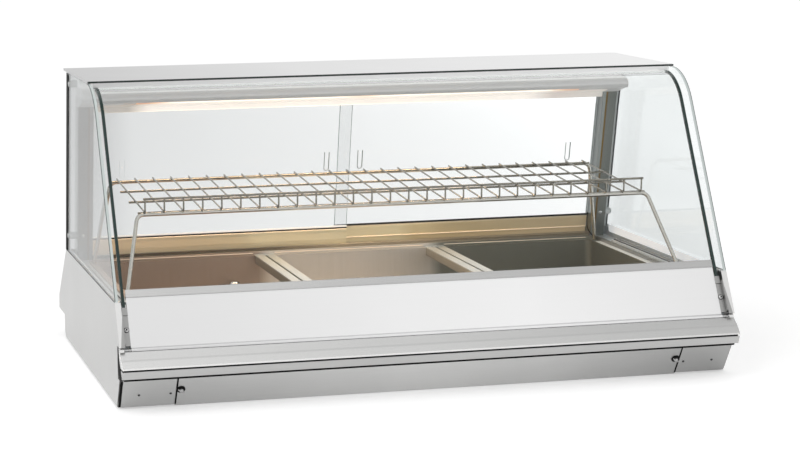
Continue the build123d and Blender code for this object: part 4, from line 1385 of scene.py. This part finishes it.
@dataclass
class FrontSeams:
    """Dark seals in the front joints, which also stand in for the shade in those gaps, and grey edgings
    inside the side panels' front edges, laid as painted light over their shaded inner faces.

    Attributes:
        joints: name, Y and Z of the section and half the length of the long seals.
        nick: how far their edges are cut off, in shares of the height.
        seam_x: where the service cover meets the corner pieces.
        corner_x: where the left corner piece meets the side panel.
        foot, head: lower and upper end of the leaning base front, Y and Z.
        cap: outline of the dark gasket on the ends of bumper and lip, Y and Z.
        cap_x: where that gasket starts and ends across the counter.
        edge: foot of the slope's edge at deck level, Y and Z.
        edging_x: where an edging starts and ends across the counter.
        edging_up: lower and upper end of an edging along the slope.
        edging_in: front and rear side of an edging, behind the slope.
        thick: thickness of a strip on the base front.
    """

    joints: tuple[tuple[str, Flat, Flat, float], ...] = (
        ("lip_joint_seal", (-399.0, -387.0), (57.0, 61.9), 545.0),
        ("bumper_joint_seal", (-411.6, -409.1), (75.6, 78.4), 546.0),
    )
    nick: float = 0.3
    seam_x: Flat = (453.0, 450.6)
    corner_x: Flat = (-549.4, -545.2)
    foot: Flat = (-348.5, 3.0)
    head: Flat = (-386.5, 56.0)
    cap: Line = (
        (-362.7, 110.0), (-368.0, 110.0), (-375.0, 92.0), (-388.0, 77.0), (-399.0, 62.3), (-362.7, 62.3),
    )
    cap_x: Flat = (549.55, 549.95)
    edge: Flat = (-346.0, 182.0)
    edging_x: Flat = (538.65, 539.95)
    edging_up: Flat = (-74.0, -16.0)
    edging_in: Flat = (0.6, 9.4)
    thick: float = 0.4

    def build(self, rubber: Wear, grey: Wear) -> None:
        """Make the seals and the edgings.

        Args:
            rubber: the seals.
            grey: the edgings.
        """
        for name, (y0, y1), (z0, z1), half in self.joints:
            n = self.nick * (z1 - z0)
            section = [(y0, z0 + n), (y0 + n, z0), (y1, z0), (y1, z1), (y0 + n, z1), (y0, z1 - n)]
            stretch(name, section, [(-half, half)], rubber, "base", "black_rubber")
        for name, section, spans, body in (
            ("cover_edge_seals", self._lean(), both_ends(self.seam_x), "cover"),
            ("bumper_end_gaskets", self.cap, both_ends(self.cap_x), "base"),
            ("left_corner_seal", self._lean(), [self.corner_x], "base"),
        ):
            stretch(name, section, spans, rubber, body, "black_rubber")
        turn = radians(FRONT_SLOPE)
        rise, face = Vector((cos(turn), sin(turn))), Vector((-sin(turn), cos(turn)))
        low, high = (Vector(self.edge) + rise * reach for reach in self.edging_up)
        near, far = (face * depth for depth in self.edging_in)
        section = [tuple(p) for p in (low - far, high - far, high - near, low - near)]
        stretch("side_edge_trims", section, both_ends(self.edging_x), grey, "base", "side_steel")

    def _lean(self) -> list[Flat]:
        """Give the section of a thin strip that lies on the leaning base front.

        Returns:
            The section's points, Y and Z.
        """
        foot, head = Vector(self.foot), Vector(self.head)
        up = (head - foot).normalized()
        out = Vector((-up.y, up.x))
        low, high = foot + up, head - up
        half, full, cut = out * (self.thick / 2), out * self.thick, up * self.thick
        return [tuple(p) for p in (low, high, high + half, high - cut + full, low + cut + full, low + half)]


@dataclass
class GlassEdges:
    """Dark polished edges of a bent pane, one at each end of the counter.

    Attributes:
        name: name of the piece.
        body: the body that carries it.
        foot: lower end of the glass's outer face, Y and Z.
        bend: middle of the bend.
        outer, inner: radius of the bend on both faces.
        end: angle at which the bend ends.
        reach: where an edge starts and ends across the counter.
        proud: how far the edge stands out of the faces.
        skin: how far the pane's upper edge piece stands out of the faces.
        deep: how far that piece reaches down into the pane, in degrees of the bend.
        steps: number of facets of the bend.
        inset: how far the pane ends inside its dark edges.
    """

    name: str = "front_glass_edges"
    body: str = "flap"
    foot: Flat = (-345.6, 162.9)
    bend: Flat = (-80.2, 422.33)
    outer: float = 99.0
    inner: float = 94.0
    end: float = 93.0
    reach: Flat = (531.6, 536.7)
    proud: float = 0.25
    skin: float = 0.02
    deep: float = 1.2
    steps: int = 48
    inset: float = 0.2

    def pane(self, glass: Wear, ground: Wear) -> None:
        """Make the pane itself with a finely stepped bend, in place of the front glass.

        Args:
            glass: what it wears.
            ground: its upper edge, a pale glowing painted highlight.
        """
        half, brim = self.reach[1] - self.inset, self.reach[0]
        section = self._line(self.outer) + self._line(self.inner)[::-1]
        stretch(
            "front_glass_pane", section, [(-half, half)], glass, self.body, "clear_glass", ("front_glass",)
        )
        angles = [radians(self.end + more) for more in (self.deep, self.deep / 2, -self.skin)]
        section = self._arc(self.outer + self.skin, angles) + self._arc(self.inner - self.skin, angles[::-1])
        stretch("front_glass_upper_edge", section, [(-brim, brim)], ground, self.body, "clear_glass")

    def build(self, dark: Wear) -> None:
        """Make both edges.

        Args:
            dark: what they wear.
        """
        section = self._line(self.outer + self.proud) + self._line(self.inner - self.proud)[::-1]
        stretch(self.name, section, both_ends(self.reach), dark, self.body, "clear_glass")

    def _arc(self, radius: float, angles: list[float]) -> list[Flat]:
        """Give points on a circle about the middle of the bend.

        Args:
            radius: the circle's radius.
            angles: where the points lie.

        Returns:
            The points.
        """
        y, z = self.bend
        return [(y + radius * cos(a), z + radius * sin(a)) for a in angles]

    def _line(self, radius: float) -> list[Flat]:
        """Give a line along the glass at a radius of its bend.

        Args:
            radius: distance from the middle of the bend.

        Returns:
            Points from the foot to the end of the bend.
        """
        first = 90 + FRONT_SLOPE
        sweep = self.end - first
        arc = self._arc(radius, [radians(first + sweep * k / self.steps) for k in range(self.steps + 1)])
        start = Vector(arc[0])
        up = Vector((cos(radians(FRONT_SLOPE)), sin(radians(FRONT_SLOPE))))
        return [tuple(start - up * (start - Vector(self.foot)).dot(up))] + arc


@dataclass
class RearLines:
    """Thin glowing tubes painted as highlights along the door rails and the tank rim, and the dark border of
    the left glass.

    Attributes:
        painted_highlights: name, body, slot, place across and height, radius and spans of each painted
            highlight tube.
        border_x: where the border starts and ends across the counter.
        border_z: lower and upper end of the border.
        rear: rear edge of the side glass at its foot, Y and Z.
        depth: where the border starts and ends in front of the edge.
    """

    painted_highlights: tuple[tuple[str, str, str, Flat, float, Line], ...] = (
        ("tank_rim_painted_highlight", "base", "tank_steel", (231.9, 163.2), 0.7,
         ((-465.0, -193.0), (-150.0, 150.0), (193.0, 497.0))),
        ("left_rail_painted_highlight", "door_left", "rail_aluminium", (238.5, 202.0), 0.6, ((-498.0, -5.0),)),
        ("right_rail_painted_highlight", "door_right", "rail_aluminium", (256.5, 182.4), 0.8, ((-23.0, 498.0),)),
    )
    border_x: Flat = (-549.95, -549.45)
    border_z: Flat = (184.0, 526.0)
    rear: Flat = (278.6, 183.5)
    depth: Flat = (0.5, 27.0)

    def build(self, warm: Wear, enamel: Wear) -> None:
        """Make the painted highlight tubes and the border.

        Args:
            warm: the painted highlight tubes.
            enamel: the border.
        """
        for name, body, slot, (y, z), radius, spans in self.painted_highlights:
            roll = Shape(name)
            for start, end in spans:
                path = [(x, y, z) for x in (start, (start + end) / 2, end)]
                roll.tube(path, circle(radius, 12), (0.0, 0.0, 1.0))
            roll.finish(warm, body, slot)
        (near, far), (foot, level) = self.depth, self.rear
        (y0, z0), (y1, z1) = ((foot - REAR_LEAN * (z - level), z) for z in self.border_z)
        section = [(y0 - near, z0), (y0 - far, z0), (y1 - far, z1), (y1 - near, z1)]
        stretch("left_glass_rear_border", section, [self.border_x], enamel, "base", "black_rubber")


@dataclass
class DoorPulls:
    """Ground finger pulls with a raised rim on the sliding doors.

    Attributes:
        foot, head: middle of a pull's lower and upper end on the left door's rear face, Y and Z.
        doors: body, how far it stands behind the left door, and where its pulls are.
        half: half a pull's width.
        rim: radius of the rim.
        steps: number of facets of the rim's lower bend.
    """

    foot: Flat = (215.4, 326.0)
    head: Flat = (207.4, 358.0)
    doors: tuple[tuple[str, float, tuple[float, ...]], ...] = (
        ("door_left", 0.0, (-49.0,)), ("door_right", 13.0, (21.0, 448.0)),
    )
    half: float = 4.5
    rim: float = 0.8
    steps: int = 12

    def build(self, glass: Wear) -> None:
        """Make the rims of the pulls on each door.

        Args:
            glass: what they wear.
        """
        for body, offset, places in self.doors:
            shape = Shape(f"{body}_pull_rims")
            for x in places:
                shape.tube(self._loop(x, offset), circle(self.rim, 8), (0.0, 1.0, 0.2))
            shape.finish(glass, body, "clear_glass")

    def _loop(self, x: float, offset: float) -> list[Point]:
        """Give the path of a pull's rim, open at the top.

        Args:
            x: middle of the pull.
            offset: how far its door stands behind the left one.

        Returns:
            The path's points.
        """
        foot, head = Vector(self.foot), Vector(self.head)
        path = [(x - self.half, head.x + offset, head.y)]
        for k in range(self.steps + 1):
            turn = pi + pi * k / self.steps
            y, z = foot + (head - foot).normalized() * self.half * sin(turn)
            path.append((x + self.half * cos(turn), y + offset, z))
        return path + [(x + self.half, head.x + offset, head.y)]


@dataclass
class PhotoCamera:
    """Camera that stands where the photograph was taken.

    Attributes:
        place_mm: position in the counter's frame.
        yaw, pitch, roll: turn to the right, tilt down and bank, in degrees.
        focal_px: focal length in pixels of the picture.
        centre_px: where the lens axis meets the picture.
        picture_px: width and height of the picture.
        sensor_mm: width of the sensor.
        clip_m: nearest and farthest distance that it sees.
    """

    place_mm: Point = (-1126.16, -4289.91, 878.73)
    yaw: float = 14.2639
    pitch: float = 9.3035
    roll: float = -0.5715
    focal_px: float = 2401.73
    centre_px: Flat = (361.06, 272.82)
    picture_px: tuple[int, int] = (800, 457)
    sensor_mm: float = 36.0
    clip_m: Flat = (0.05, 200.0)

    def build(self) -> None:
        """Make the camera and give it to the scene."""
        width, height = self.picture_px
        data = bpy.data.cameras.new("photo_camera")
        data.sensor_fit = "HORIZONTAL"
        data.sensor_width = self.sensor_mm
        data.lens = self.focal_px * self.sensor_mm / width
        data.shift_x = (width / 2 - self.centre_px[0]) / width
        data.shift_y = (self.centre_px[1] - height / 2) / width
        data.clip_start, data.clip_end = self.clip_m
        yaw, pitch, roll = (radians(a) for a in (self.yaw, self.pitch, self.roll))
        ahead = Vector((sin(yaw) * cos(pitch), cos(yaw) * cos(pitch), -sin(pitch)))
        level = Vector((cos(yaw), -sin(yaw), 0.0))
        upright = level.cross(ahead)
        right = cos(roll) * level + sin(roll) * upright
        up = cos(roll) * upright - sin(roll) * level
        turn = Matrix((right, up, -ahead)).transposed().to_4x4()
        camera = bpy.data.objects.new("photo_camera", data)
        camera.matrix_world = Matrix.Translation(Vector(self.place_mm) * MM) @ turn
        bpy.context.scene.collection.objects.link(camera)
        bpy.context.scene.camera = camera


@dataclass
class Studio:
    """Pale floor, a bright room all round and soft lamps.

    Attributes:
        floor_m: side of the floor.
        paper: tone of the floor, sRGB hex.
        mirrored, seen: brightness added to the floor that metals mirror and that the eye sees.
        slant: how far lines of equal brightness on the floor run to the right as they go back.
        through: brightness added to the floor behind glass, by place to the right of those lines.
        soft: strength of the room as soft light.
        heights: brightness of the room that shiny things see, from the horizon to overhead.
        glance: direction to the right at which the left and right halves of the room balance.
        low_lean: heights between which the lower room's lean to the right changes, and that lean.
        high_lean: the same for what is added higher up.
        limits: least and greatest brightness that the lean gives.
        lamps: name, place, aim, size, power and colour of each lamp, in metres and watts.
    """

    floor_m: float = 90.0
    paper: str = "e4e4e4"
    mirrored: float = 0.22
    seen: float = 0.4
    slant: float = 0.15
    through: Line = ((-0.58, 0.04), (-0.44, 0.28), (0.3, 0.42), (0.77, 0.54), (1.4, 0.72))
    soft: float = 0.8
    heights: Line = (
        (0.0, 0.8), (0.25, 0.84), (0.6, 0.95), (0.8, 0.98), (0.9, 0.85), (0.97, 0.55), (1.0, 0.45),
    )
    glance: float = 0.24
    low_lean: tuple[float, ...] = (0.2, 0.55, 1.4, 0.6)
    high_lean: tuple[float, ...] = (0.74, 0.86, 0.0, -3.4)
    limits: Flat = (0.7, 1.35)
    lamps: tuple[tuple[str, Point, Point, Flat, float, str], ...] = (
        ("overhead_left", (-1.9, -1.6, 2.6), (0.0, 0.0, 0.25), (2.2, 2.2), 26.0, "ffffff"),
        ("heat_glow_left", (-0.27, 0.128, 0.462), (-0.27, 0.08, 0.1), (0.4, 0.03), 1.2, "ffdcb4"),
        ("heat_glow_middle", (0.06, 0.128, 0.462), (0.06, 0.08, 0.1), (0.4, 0.03), 1.35, "ffdcb4"),
    )

    def build(self) -> None:
        """Make floor, room and lamps."""
        self._floor()
        self._room()
        for lamp in self.lamps:
            self._lamp(*lamp)

    def _floor(self) -> None:
        """Lay the floor: white to the eye, with the counter's soft shadow, grey paper to metals."""
        h = self.floor_m / 2
        mesh = bpy.data.meshes.new("floor")
        mesh.from_pydata([(-h, -h, 0), (h, -h, 0), (h, h, 0), (-h, h, 0)], [], [(0, 1, 2, 3)])
        floor = bpy.data.objects.new("floor", mesh)
        bpy.context.scene.collection.objects.link(floor)
        material, graph = new_material("floor_paper")
        path = add_node(graph.tree, "ShaderNodeLightPath").outputs
        x, y, _ = graph.split(graph.coords())
        slant = graph.math("MULTIPLY_ADD", y, -self.slant, x)
        through = graph.ramp(slant, [(at, (level, level, level, 1.0)) for at, level in self.through])
        shiny = graph.choose(path["Is Glossy Ray"], 0.0, self.mirrored)
        passed = graph.choose(path["Is Transmission Ray"], shiny, through)
        light = graph.choose(path["Is Camera Ray"], passed, self.seen)
        both = graph.add("AddShader", {
            0: graph.add("BsdfDiffuse", {"Color": linear(self.paper)}),
            1: graph.add("Emission", {"Color": linear("ffffff"), "Strength": light}),
        })
        add_node(graph.tree, "ShaderNodeOutputMaterial", {0: both})
        mesh.materials.append(material)

    def _room(self) -> None:
        """Surround the counter with a white room: brighter low on the right and high on the left."""
        world = bpy.data.worlds.new("room")
        bpy.context.scene.world = world
        world.use_nodes = True
        graph = Graph(world.node_tree)
        side, _, up = graph.split(graph.coords("Generated"))
        climb = graph.ramp(up, [(height, (level, level, level, 1.0)) for height, level in self.heights])
        lean = graph.math("ADD", graph.span(up, *self.low_lean), graph.span(up, *self.high_lean))
        fall = graph.math("MULTIPLY_ADD", graph.math("SUBTRACT", side, self.glance), lean, 1.0)
        kept = graph.add("Clamp", {0: fall, 1: self.limits[0], 2: self.limits[1]})
        path = add_node(graph.tree, "ShaderNodeLightPath").outputs
        metal = graph.choose(path["Is Glossy Ray"], self.soft, graph.math("MULTIPLY", climb, kept))
        clear = graph.math("MAXIMUM", path["Is Camera Ray"], path["Is Transmission Ray"])
        level = graph.choose(clear, metal, 1.0)
        light = graph.add("Background", {"Color": linear("ffffff"), "Strength": level})
        add_node(graph.tree, "ShaderNodeOutputWorld", {0: light})

    @staticmethod
    def _lamp(name: str, place: Point, aim: Point, size: Flat, power: float, colour: str) -> None:
        """Hang a soft lamp.

        Args:
            name: the lamp's name.
            place: where it hangs, in metres.
            aim: the point that it looks at.
            size: its length and width in metres.
            power: its power in watts.
            colour: colour of its light, sRGB hex.
        """
        data = bpy.data.lights.new(name, "AREA")
        data.shape = "RECTANGLE"
        data.size, data.size_y = size
        data.energy = power
        data.color = linear(colour)[:3]
        lamp = bpy.data.objects.new(name, data)
        lamp.matrix_world = facing(place, tuple(Vector(place) - Vector(aim)))
        lamp.visible_camera = False
        lamp.visible_transmission = False
        bpy.context.scene.collection.objects.link(lamp)


@dataclass
class Wardrobe:
    """Every finish, for the CAD nodes and for the pieces added to them.

    Attributes:
        finishes: each finish with the CAD nodes that wear it.
        made: the materials by name, once made.
    """

    finishes: list[tuple[Any, str]] = field(default_factory=lambda: [
        # Satin upright grain: the pale quiet flank of the counter, with painted shade on the inner wedge of
        # its folded returns
        (SatinMetal("side_panel_ground_stainless", "dededd", "d9d9d8", 0.42, Grain.UPRIGHT, streak=0.01,
                    painted_hem_shade="a3a3a2"), "side_panel_left side_panel_right"),
        # Darker satin with painted light and shade: lightest in the middle, darkest on the right, a plinth
        # under the lip
        (SatinMetal("base_ground_stainless", "e8e8e7", "e2e2e1", 0.36, streak=0.01,
                    wash=((-540.0, "e2e2e2"), (-60.0, "ffffff"), (200.0, "f6f6f6"), (430.0, "dedede"),
                          (540.0, "cfcfcf"))), "base_corner_left base_corner_right service_cover"),
        # Plain satin: a quiet back
        (SatinMetal("rear_ground_stainless", "d9d9d8", "d0d0cf", 0.36), "base_tray rear_panel"),
        # Bright panel: a soft white painted highlight gradient, with hardly any grain
        (SatinMetal("front_bright_stainless", "f3f3f3", "f1f1f1", 0.36, relief=0.005, streak=0.005,
                    wash=((-530.0, "e9e9e9"), (-60.0, "fcfcfc"), (180.0, "ffffff"), (530.0, "f3f3f3"))),
         "front_panel glass_holder"),
        # Greyer ledge above the panel, with painted light that dims towards the right
        (SatinMetal("front_cap_stainless", "d2d2d1", "cccccb", 0.26, streak=0.01,
                    wash=((-530.0, "fafafa"), (530.0, "dcdcdc"))), "panel_cap"),
        # Mid grey ends that frame the bright panel
        (SatinMetal("end_strip_stainless", "a5a5a4", "9d9d9c", 0.34, Grain.UPRIGHT),
         "end_strip_left end_strip_right glass_clips"),
        # Bright drawn nose with painted light that dims towards the right
        (SatinMetal("bumper_anodised_aluminium", "f4f4f3", "efefee", 0.26, relief=0.01, streak=0.01,
                    wash=((-550.0, "ffffff"), (0.0, "fcfcfc"), (550.0, "ececec"))), "bumper"),
        # Darker lip, whose tone is painted shade under the bumper
        (SatinMetal("lip_anodised_aluminium", "cdcdcc", "c5c5c4", 0.3), "front_lip"),
        # Cool deck that mirrors the glass, with a faint painted glow of lamp light
        (SatinMetal("deck_stainless", "ccd2d4", "c2c8ca", 0.3, metallic=0.6, lit=0.04), "deck"),
        # Warm drawn steel with painted heat-lamp light and shade: brown on the left, pale in the middle, dark
        # on the right, and a faint painted glow
        (SatinMetal("tank_drawn_stainless", "e3ddd5", "d8d2c8", 0.5, Grain.UPRIGHT, lit=0.055,
                    wash=((-512.0, "cdbfb6"), (-185.0, "cdbfb6"), (-160.0, "ffffff"), (160.0, "fafafa"),
                          (185.0, "a4a8a2"), (512.0, "a4a8a2"))), "tank"),
        # Bright top with a faint painted glow, and folded sides with painted shade where they drop into the
        # wells
        (SatinMetal("divider_stainless", "d8dbd7", "ced1cd", 0.3, Grain.ACROSS, metallic=0.7, lit=0.1,
                    wash=((145.0, "a49a8a"), (158.5, "bcb2a2"), (160.5, "ffffff"), (162.0, "ffffff")),
                    way=Wash.HEIGHT), "well_divider_left well_divider_right"),
        # Nearly white top with painted light that is dimmer on the left
        (SatinMetal("top_ground_stainless", "f2f2f2", "efefef", 0.36, relief=0.005, streak=0.005,
                    wash=((-550.0, "e8e8e8"), (-150.0, "fcfcfc"), (550.0, "ffffff"))), "top_panel"),
        # Satin skin with painted bands and a painted glow: painted light above the fold, a painted highlight
        # on it, painted shade below and darkest at the lip
        (SatinMetal("canopy_satin_aluminium", "f4f4f3", "f0f0ef", 0.4, relief=0.01, streak=0.01,
                    metallic=0.3, way=Wash.HEIGHT, lit=0.5,
                    wash=((465.0, "b8b8b8"), (483.5, "b8b8b8"), (487.0, "d0d0d0"), (501.0, "d0d0d0"),
                          (505.0, "ffffff"), (509.0, "ffffff"), (513.0, "ececec"), (532.0, "ececec"))),
         "lamp_canopy"),
        # Warm mirror behind the lamps
        (SatinMetal("reflector_polished_aluminium", "f2efe8", "e8e4da", 0.12), "lamp_reflector"),
        # Painted light and shade: a lighter grey inner flank, a painted golden highlight of lamp light on the
        # corner, a darker face and a painted bright outer edge
        (SatinMetal("post_anodised_aluminium", "b0b2b0", "a5a7a5", 0.3, Grain.UPRIGHT, way=Wash.SPREAD,
                    wash=((500.0, "e8ecec"), (507.0, "e8ecec"), (508.0, "c8a26a"), (510.5, "b8945c"),
                          (512.0, "c0c2be"), (528.5, "b4b6b2"), (529.8, "f4f6f6"), (531.0, "f4f6f6"))),
         "rear_post_left rear_post_right"),
        # Brownish track with painted shade from the rails, darker on the left, and a faint painted glow
        (SatinMetal("track_anodised_aluminium", "bcb09c", "aea28d", 0.3, metallic=0.7, lit=0.06,
                    wash=((-500.0, "a0a0a0"), (-150.0, "b0b0b0"), (-20.0, "ffffff"), (500.0, "ececec"))),
         "lower_track"),
        # Golden sheen of lamp light painted on the door rails, with a painted glow and a painted light and
        # shade wash along them
        (SatinMetal("rail_anodised_aluminium_painted_lamp_sheen", "f8e8ca", "f2e0be", 0.34, relief=0.005, streak=0.01,
                    metallic=0.4, lit=0.14,
                    wash=((-500.0, "ffffff"), (-230.0, "eef0ea"), (105.0, "e8f2f0"), (140.0, "d6d6c8"),
                          (500.0, "f4f2ec"))), "door_rail_left door_rail_right"),
        # Faintly grey panes that let the white room through
        (ClearGlass("side_toughened_glass", "e0e3e3", "d4dcda", Pane.SIDEWAYS, 1.18),
         "side_glass_left side_glass_right"),
        (ClearGlass("front_toughened_glass", "f4f5f5", "14403a", Pane.FORWARD), "front_glass"),
        (ClearGlass("door_toughened_glass", "f4f5f5", "607a75", Pane.UPRIGHT),
         "door_glass_left door_glass_right"),
        # Matt black lines between the bright parts: rubber for seal and feet, and added joint strips that
        # also stand in for the shade in the gaps
        (Moulded("black_rubber_and_gap_shade", "121212", "0a0a0a", 0.7, shine=0.15), "bumper_seal feet"),
        # Black rubber below; the upper half is painted pale with a glow so that it reads as the bright glass
        # above it
        (SatinMetal("door_gasket_rubber_painted_pale_top", "f0f0ee", "ecece9", 0.5, metallic=0.1, lit=0.45,
                    wash=((203.0, "141414"), (206.0, "141414"), (206.4, "ffffff"), (209.0, "ffffff")),
                    way=Wash.HEIGHT), "door_gasket_left"),
        # Black upper half over a warm painted highlight with a glow on the lower half
        (SatinMetal("door_gasket_rubber_painted_highlight", "dccfb4", "d4c6aa", 0.5, metallic=0.1, lit=0.2,
                    wash=((203.0, "ffffff"), (205.6, "ffffff"), (206.0, "101010"), (209.0, "101010")),
                    way=Wash.HEIGHT), "door_gasket_right"),
        # Black outside, with a pale adhesive back against the glass
        (Moulded("glass_seal_backed_rubber", "121212", "0a0a0a", 0.7, backing="d8dcdc"), "side_gaskets"),
        # Pale track and sheet with painted lamp light and a painted glow, which melt into the bright
        # background
        (SatinMetal("track_lamplit_white_lacquer", "fffaf4", "fcf6ee", 0.5, relief=0.0, streak=0.0,
                    metallic=0.0, wash=LAMP_WASH, lit=0.55), "upper_track"),
        (SatinMetal("lamp_sheet_lit_acrylic", "fffaf4", "fcf6ee", 0.5, relief=0.0, streak=0.0,
                    metallic=0.0, wash=LAMP_WASH, lit=0.55), ""),
        # Nickel wire: dark flanks, bright crests
        (SatinMetal("shelf_rod_nickel", "d2cfc8", "c6c3bb", 0.2), "shelf_rod_front shelf_rod_rear"),
        (SatinMetal("shelf_wire_nickel", "9b978d", "8e8a80", 0.2), "shelf_grid"),
        # Small bright heads, pale ones on the glass, and dark grey steel whose tone is painted shade for
        # rivets in dimples, screw sockets and washers
        (SatinMetal("screw_bright_steel", "c9c9c9", "bcbcbc", 0.22),
         "corner_rivets cover_screws strip_screws hinge_rod"),
        (SatinMetal("fixing_pale_satin_steel", "dcdfdf", "d2d5d5", 0.4, metallic=0.4), "glass_fixings"),
        (SatinMetal("rivet_steel_with_painted_shade", "5a5a5a", "4a4a4a", 0.4), ""),
        # Rust red pads under the tank
        (Moulded("heater_moulded_silicone", "b0522a", "9a4522", 0.6), "heating_pads"),
        # Mirror bright pipe, golden valve with a red lever
        (SatinMetal("drain_polished_stainless", "dedede", "d2d2d2", 0.14), "drain_fitting overflow_pipe"),
        (SatinMetal("valve_cast_brass", "c9a25c", "b48d49", 0.32), "drain_valve"),
        (Moulded("lever_red_dip_coat", "b3211c", "9a1914", 0.35), "drain_lever"),
        # Controls: black knob, red rockers, amber pilot, brushed plate with black print
        (Moulded("control_black_abs", "1c1c1c", "131313", 0.5), "thermostat_knob switch_frames cable_gland"),
        (Moulded("rocker_red_polycarbonate", "b4231c", "9c1a15", 0.22, 1.2, 0.03),
         "rocker_main rocker_light"),
        (Moulded("pilot_amber_acrylic", "ff9a2e", "f08418", 0.15, 1.2, 0.03), "pilot_light"),
        (SatinMetal("control_brushed_aluminium", "c6c6c6", "b9b9b9", 0.3), "control_face"),
        (Moulded("print_black_ink", "202020", "181818", 0.6, 0.6, 0.02), ""),
        (Moulded("pointer_white_paint", "f2f2ee", "e6e6e2", 0.5, 0.6, 0.02), ""),
        # Glowing tubes in pale holders, behind a frosted cover
        (Moulded("lamp_lit_quartz", "ffe2b8", "ffd9a4", 0.2, 2.0, 0.02, "ffb45e", 6.0), "lamp_tubes"),
        (Moulded("lamp_holder_ceramic", "e9e4d8", "ddd7c9", 0.45), "lamp_holders"),
        (FrostedGlow("lamp_cover_frosted_quartz", "f4ece0", "fff3e2", "ff9a4a", LampCover.half, 1.15), ""),
        # Dark seal under the top panel's edge, which also stands in for the shade in the gap there
        (Moulded("seal_green_rubber_and_gap_shade", "1c2b28", "101a18", 0.35, 1.0, 0.05), ""),
        # Grooves beside the wells with painted light: a painted highlight on the inner ribs, painted shade in
        # the groove and over the outer part, and a faint painted glow
        (SatinMetal("trim_anodised_aluminium", "dce0e0", "d0d4d4", 0.3, Grain.ACROSS, metallic=0.5,
                    way=Wash.SPREAD, lit=0.07,
                    wash=((516.0, "ffffff"), (520.4, "ffffff"), (521.0, "484848"), (523.6, "484848"),
                          (524.4, "b4b4b4"), (538.0, "b4b4b4"))), ""),
        # White foot of the side glass, with a painted glow
        (Moulded("profile_white_vinyl", "eef2f6", "e6eaee", 0.5, 1.0, 0.02, "f2f8ff", 0.4), ""),
        # Ledge with a painted highlight and glow on its top and painted shade on its rise
        (SatinMetal("ledge_stainless_painted_highlight", "f0f0ea", "e6e6e0", 0.3, metallic=0.5, way=Wash.SPREAD,
                    lit=0.2, wash=((490.0, "ffffff"), (505.8, "ffffff"), (506.6, "8c8c8c"),
                                   (510.0, "8c8c8c"))), ""),
        # Thin warm painted highlights with a glow along rails and rim
        (Moulded("highlight_tube_warm_glow", "fff0dc", "f8e8d0", 0.3, 1.0, 0.02, "ffeed8", 0.2), ""),
        # Dead black border behind the left glass
        (Moulded("border_black_enamel", "0c0c0c", "070707", 0.8, 0.8, 0.05, shine=0.04), ""),
        # Edges of the glass: pale pulls, dark green ends, a pale glowing top that is a painted highlight, and
        # grey green arrises
        (Moulded("pull_ground_glass", "c3cccb", "b6bfbe", 0.3, 0.6, 0.05), ""),
        (Moulded("glass_edge_polished_green", "10302b", "0b2521", 0.16, 3.0, 0.01), ""),
        (Moulded("glass_edge_painted_highlight", "e4e8e6", "dce0de", 0.5, 2.0, 0.02, "f0f4f2", 0.45), ""),
        (Moulded("glass_arris_grey_green", "5f6b69", "525d5b", 0.3, 3.0, 0.01), ""),
    ])
    made: dict[str, Wear] = field(default_factory=dict)

    def dress(self) -> None:
        """Make every finish and give it to its nodes."""
        for finish, nodes in self.finishes:
            material = self.made[finish.name] = finish.build()
            for name in nodes.split():
                mesh = frame["nodes"][name].data
                mesh.materials.clear()
                mesh.materials.append(material)
                LOG.info("%s wears %s", name, finish.name)


def main() -> None:
    """Build everything in order."""
    logging.basicConfig(level=logging.INFO, format="%(message)s")
    PhotoCamera().build()
    Studio().build()
    wardrobe = Wardrobe()
    wardrobe.dress()
    wear = wardrobe.made
    rubber, steel, shade_painted = (
        wear[name] for name in ("black_rubber_and_gap_shade", "screw_bright_steel", "rivet_steel_with_painted_shade")
    )
    TopSeal().build(wear["seal_green_rubber_and_gap_shade"])
    LampCover().build(
        wear["lamp_cover_frosted_quartz"], wear["lamp_sheet_lit_acrylic"], wear["canopy_satin_aluminium"]
    )
    BaseHardware().build(rubber, steel, shade_painted)
    StripScrews().build(steel, shade_painted)
    ShelfWelds().build(Nursery.bead_grid(), wear["shelf_wire_nickel"])
    DeckTrim().build(
        wear["trim_anodised_aluminium"], wear["profile_white_vinyl"], wear["ledge_stainless_painted_highlight"],
        wear["tank_drawn_stainless"],
    )
    DoorBuffers().build(rubber)
    PostFittings().build(steel, wear["control_black_abs"])
    FrontSeams().build(rubber, wear["end_strip_stainless"])
    front_glass = GlassEdges()
    front_glass.pane(wear["front_toughened_glass"], wear["glass_edge_painted_highlight"])
    front_glass.build(wear["glass_edge_polished_green"])
    side_glass = GlassEdges(
        "side_glass_arrises", "base", (-345.1, 183.8), (-82.7, 418.0), 110.0, 109.4, 90.0, (548.5, 549.6), 0.2
    )
    side_glass.build(wear["glass_arris_grey_green"])
    RearLines().build(wear["highlight_tube_warm_glow"], wear["border_black_enamel"])
    DoorPulls().build(wear["pull_ground_glass"])
    Controls().build(
        Nursery.ring_of_bars(), wear["control_black_abs"], wear["pointer_white_paint"],
        wear["print_black_ink"],
    )
    bpy.context.scene.view_settings.view_transform = "Standard"


if __name__ == "__main__":
    main()
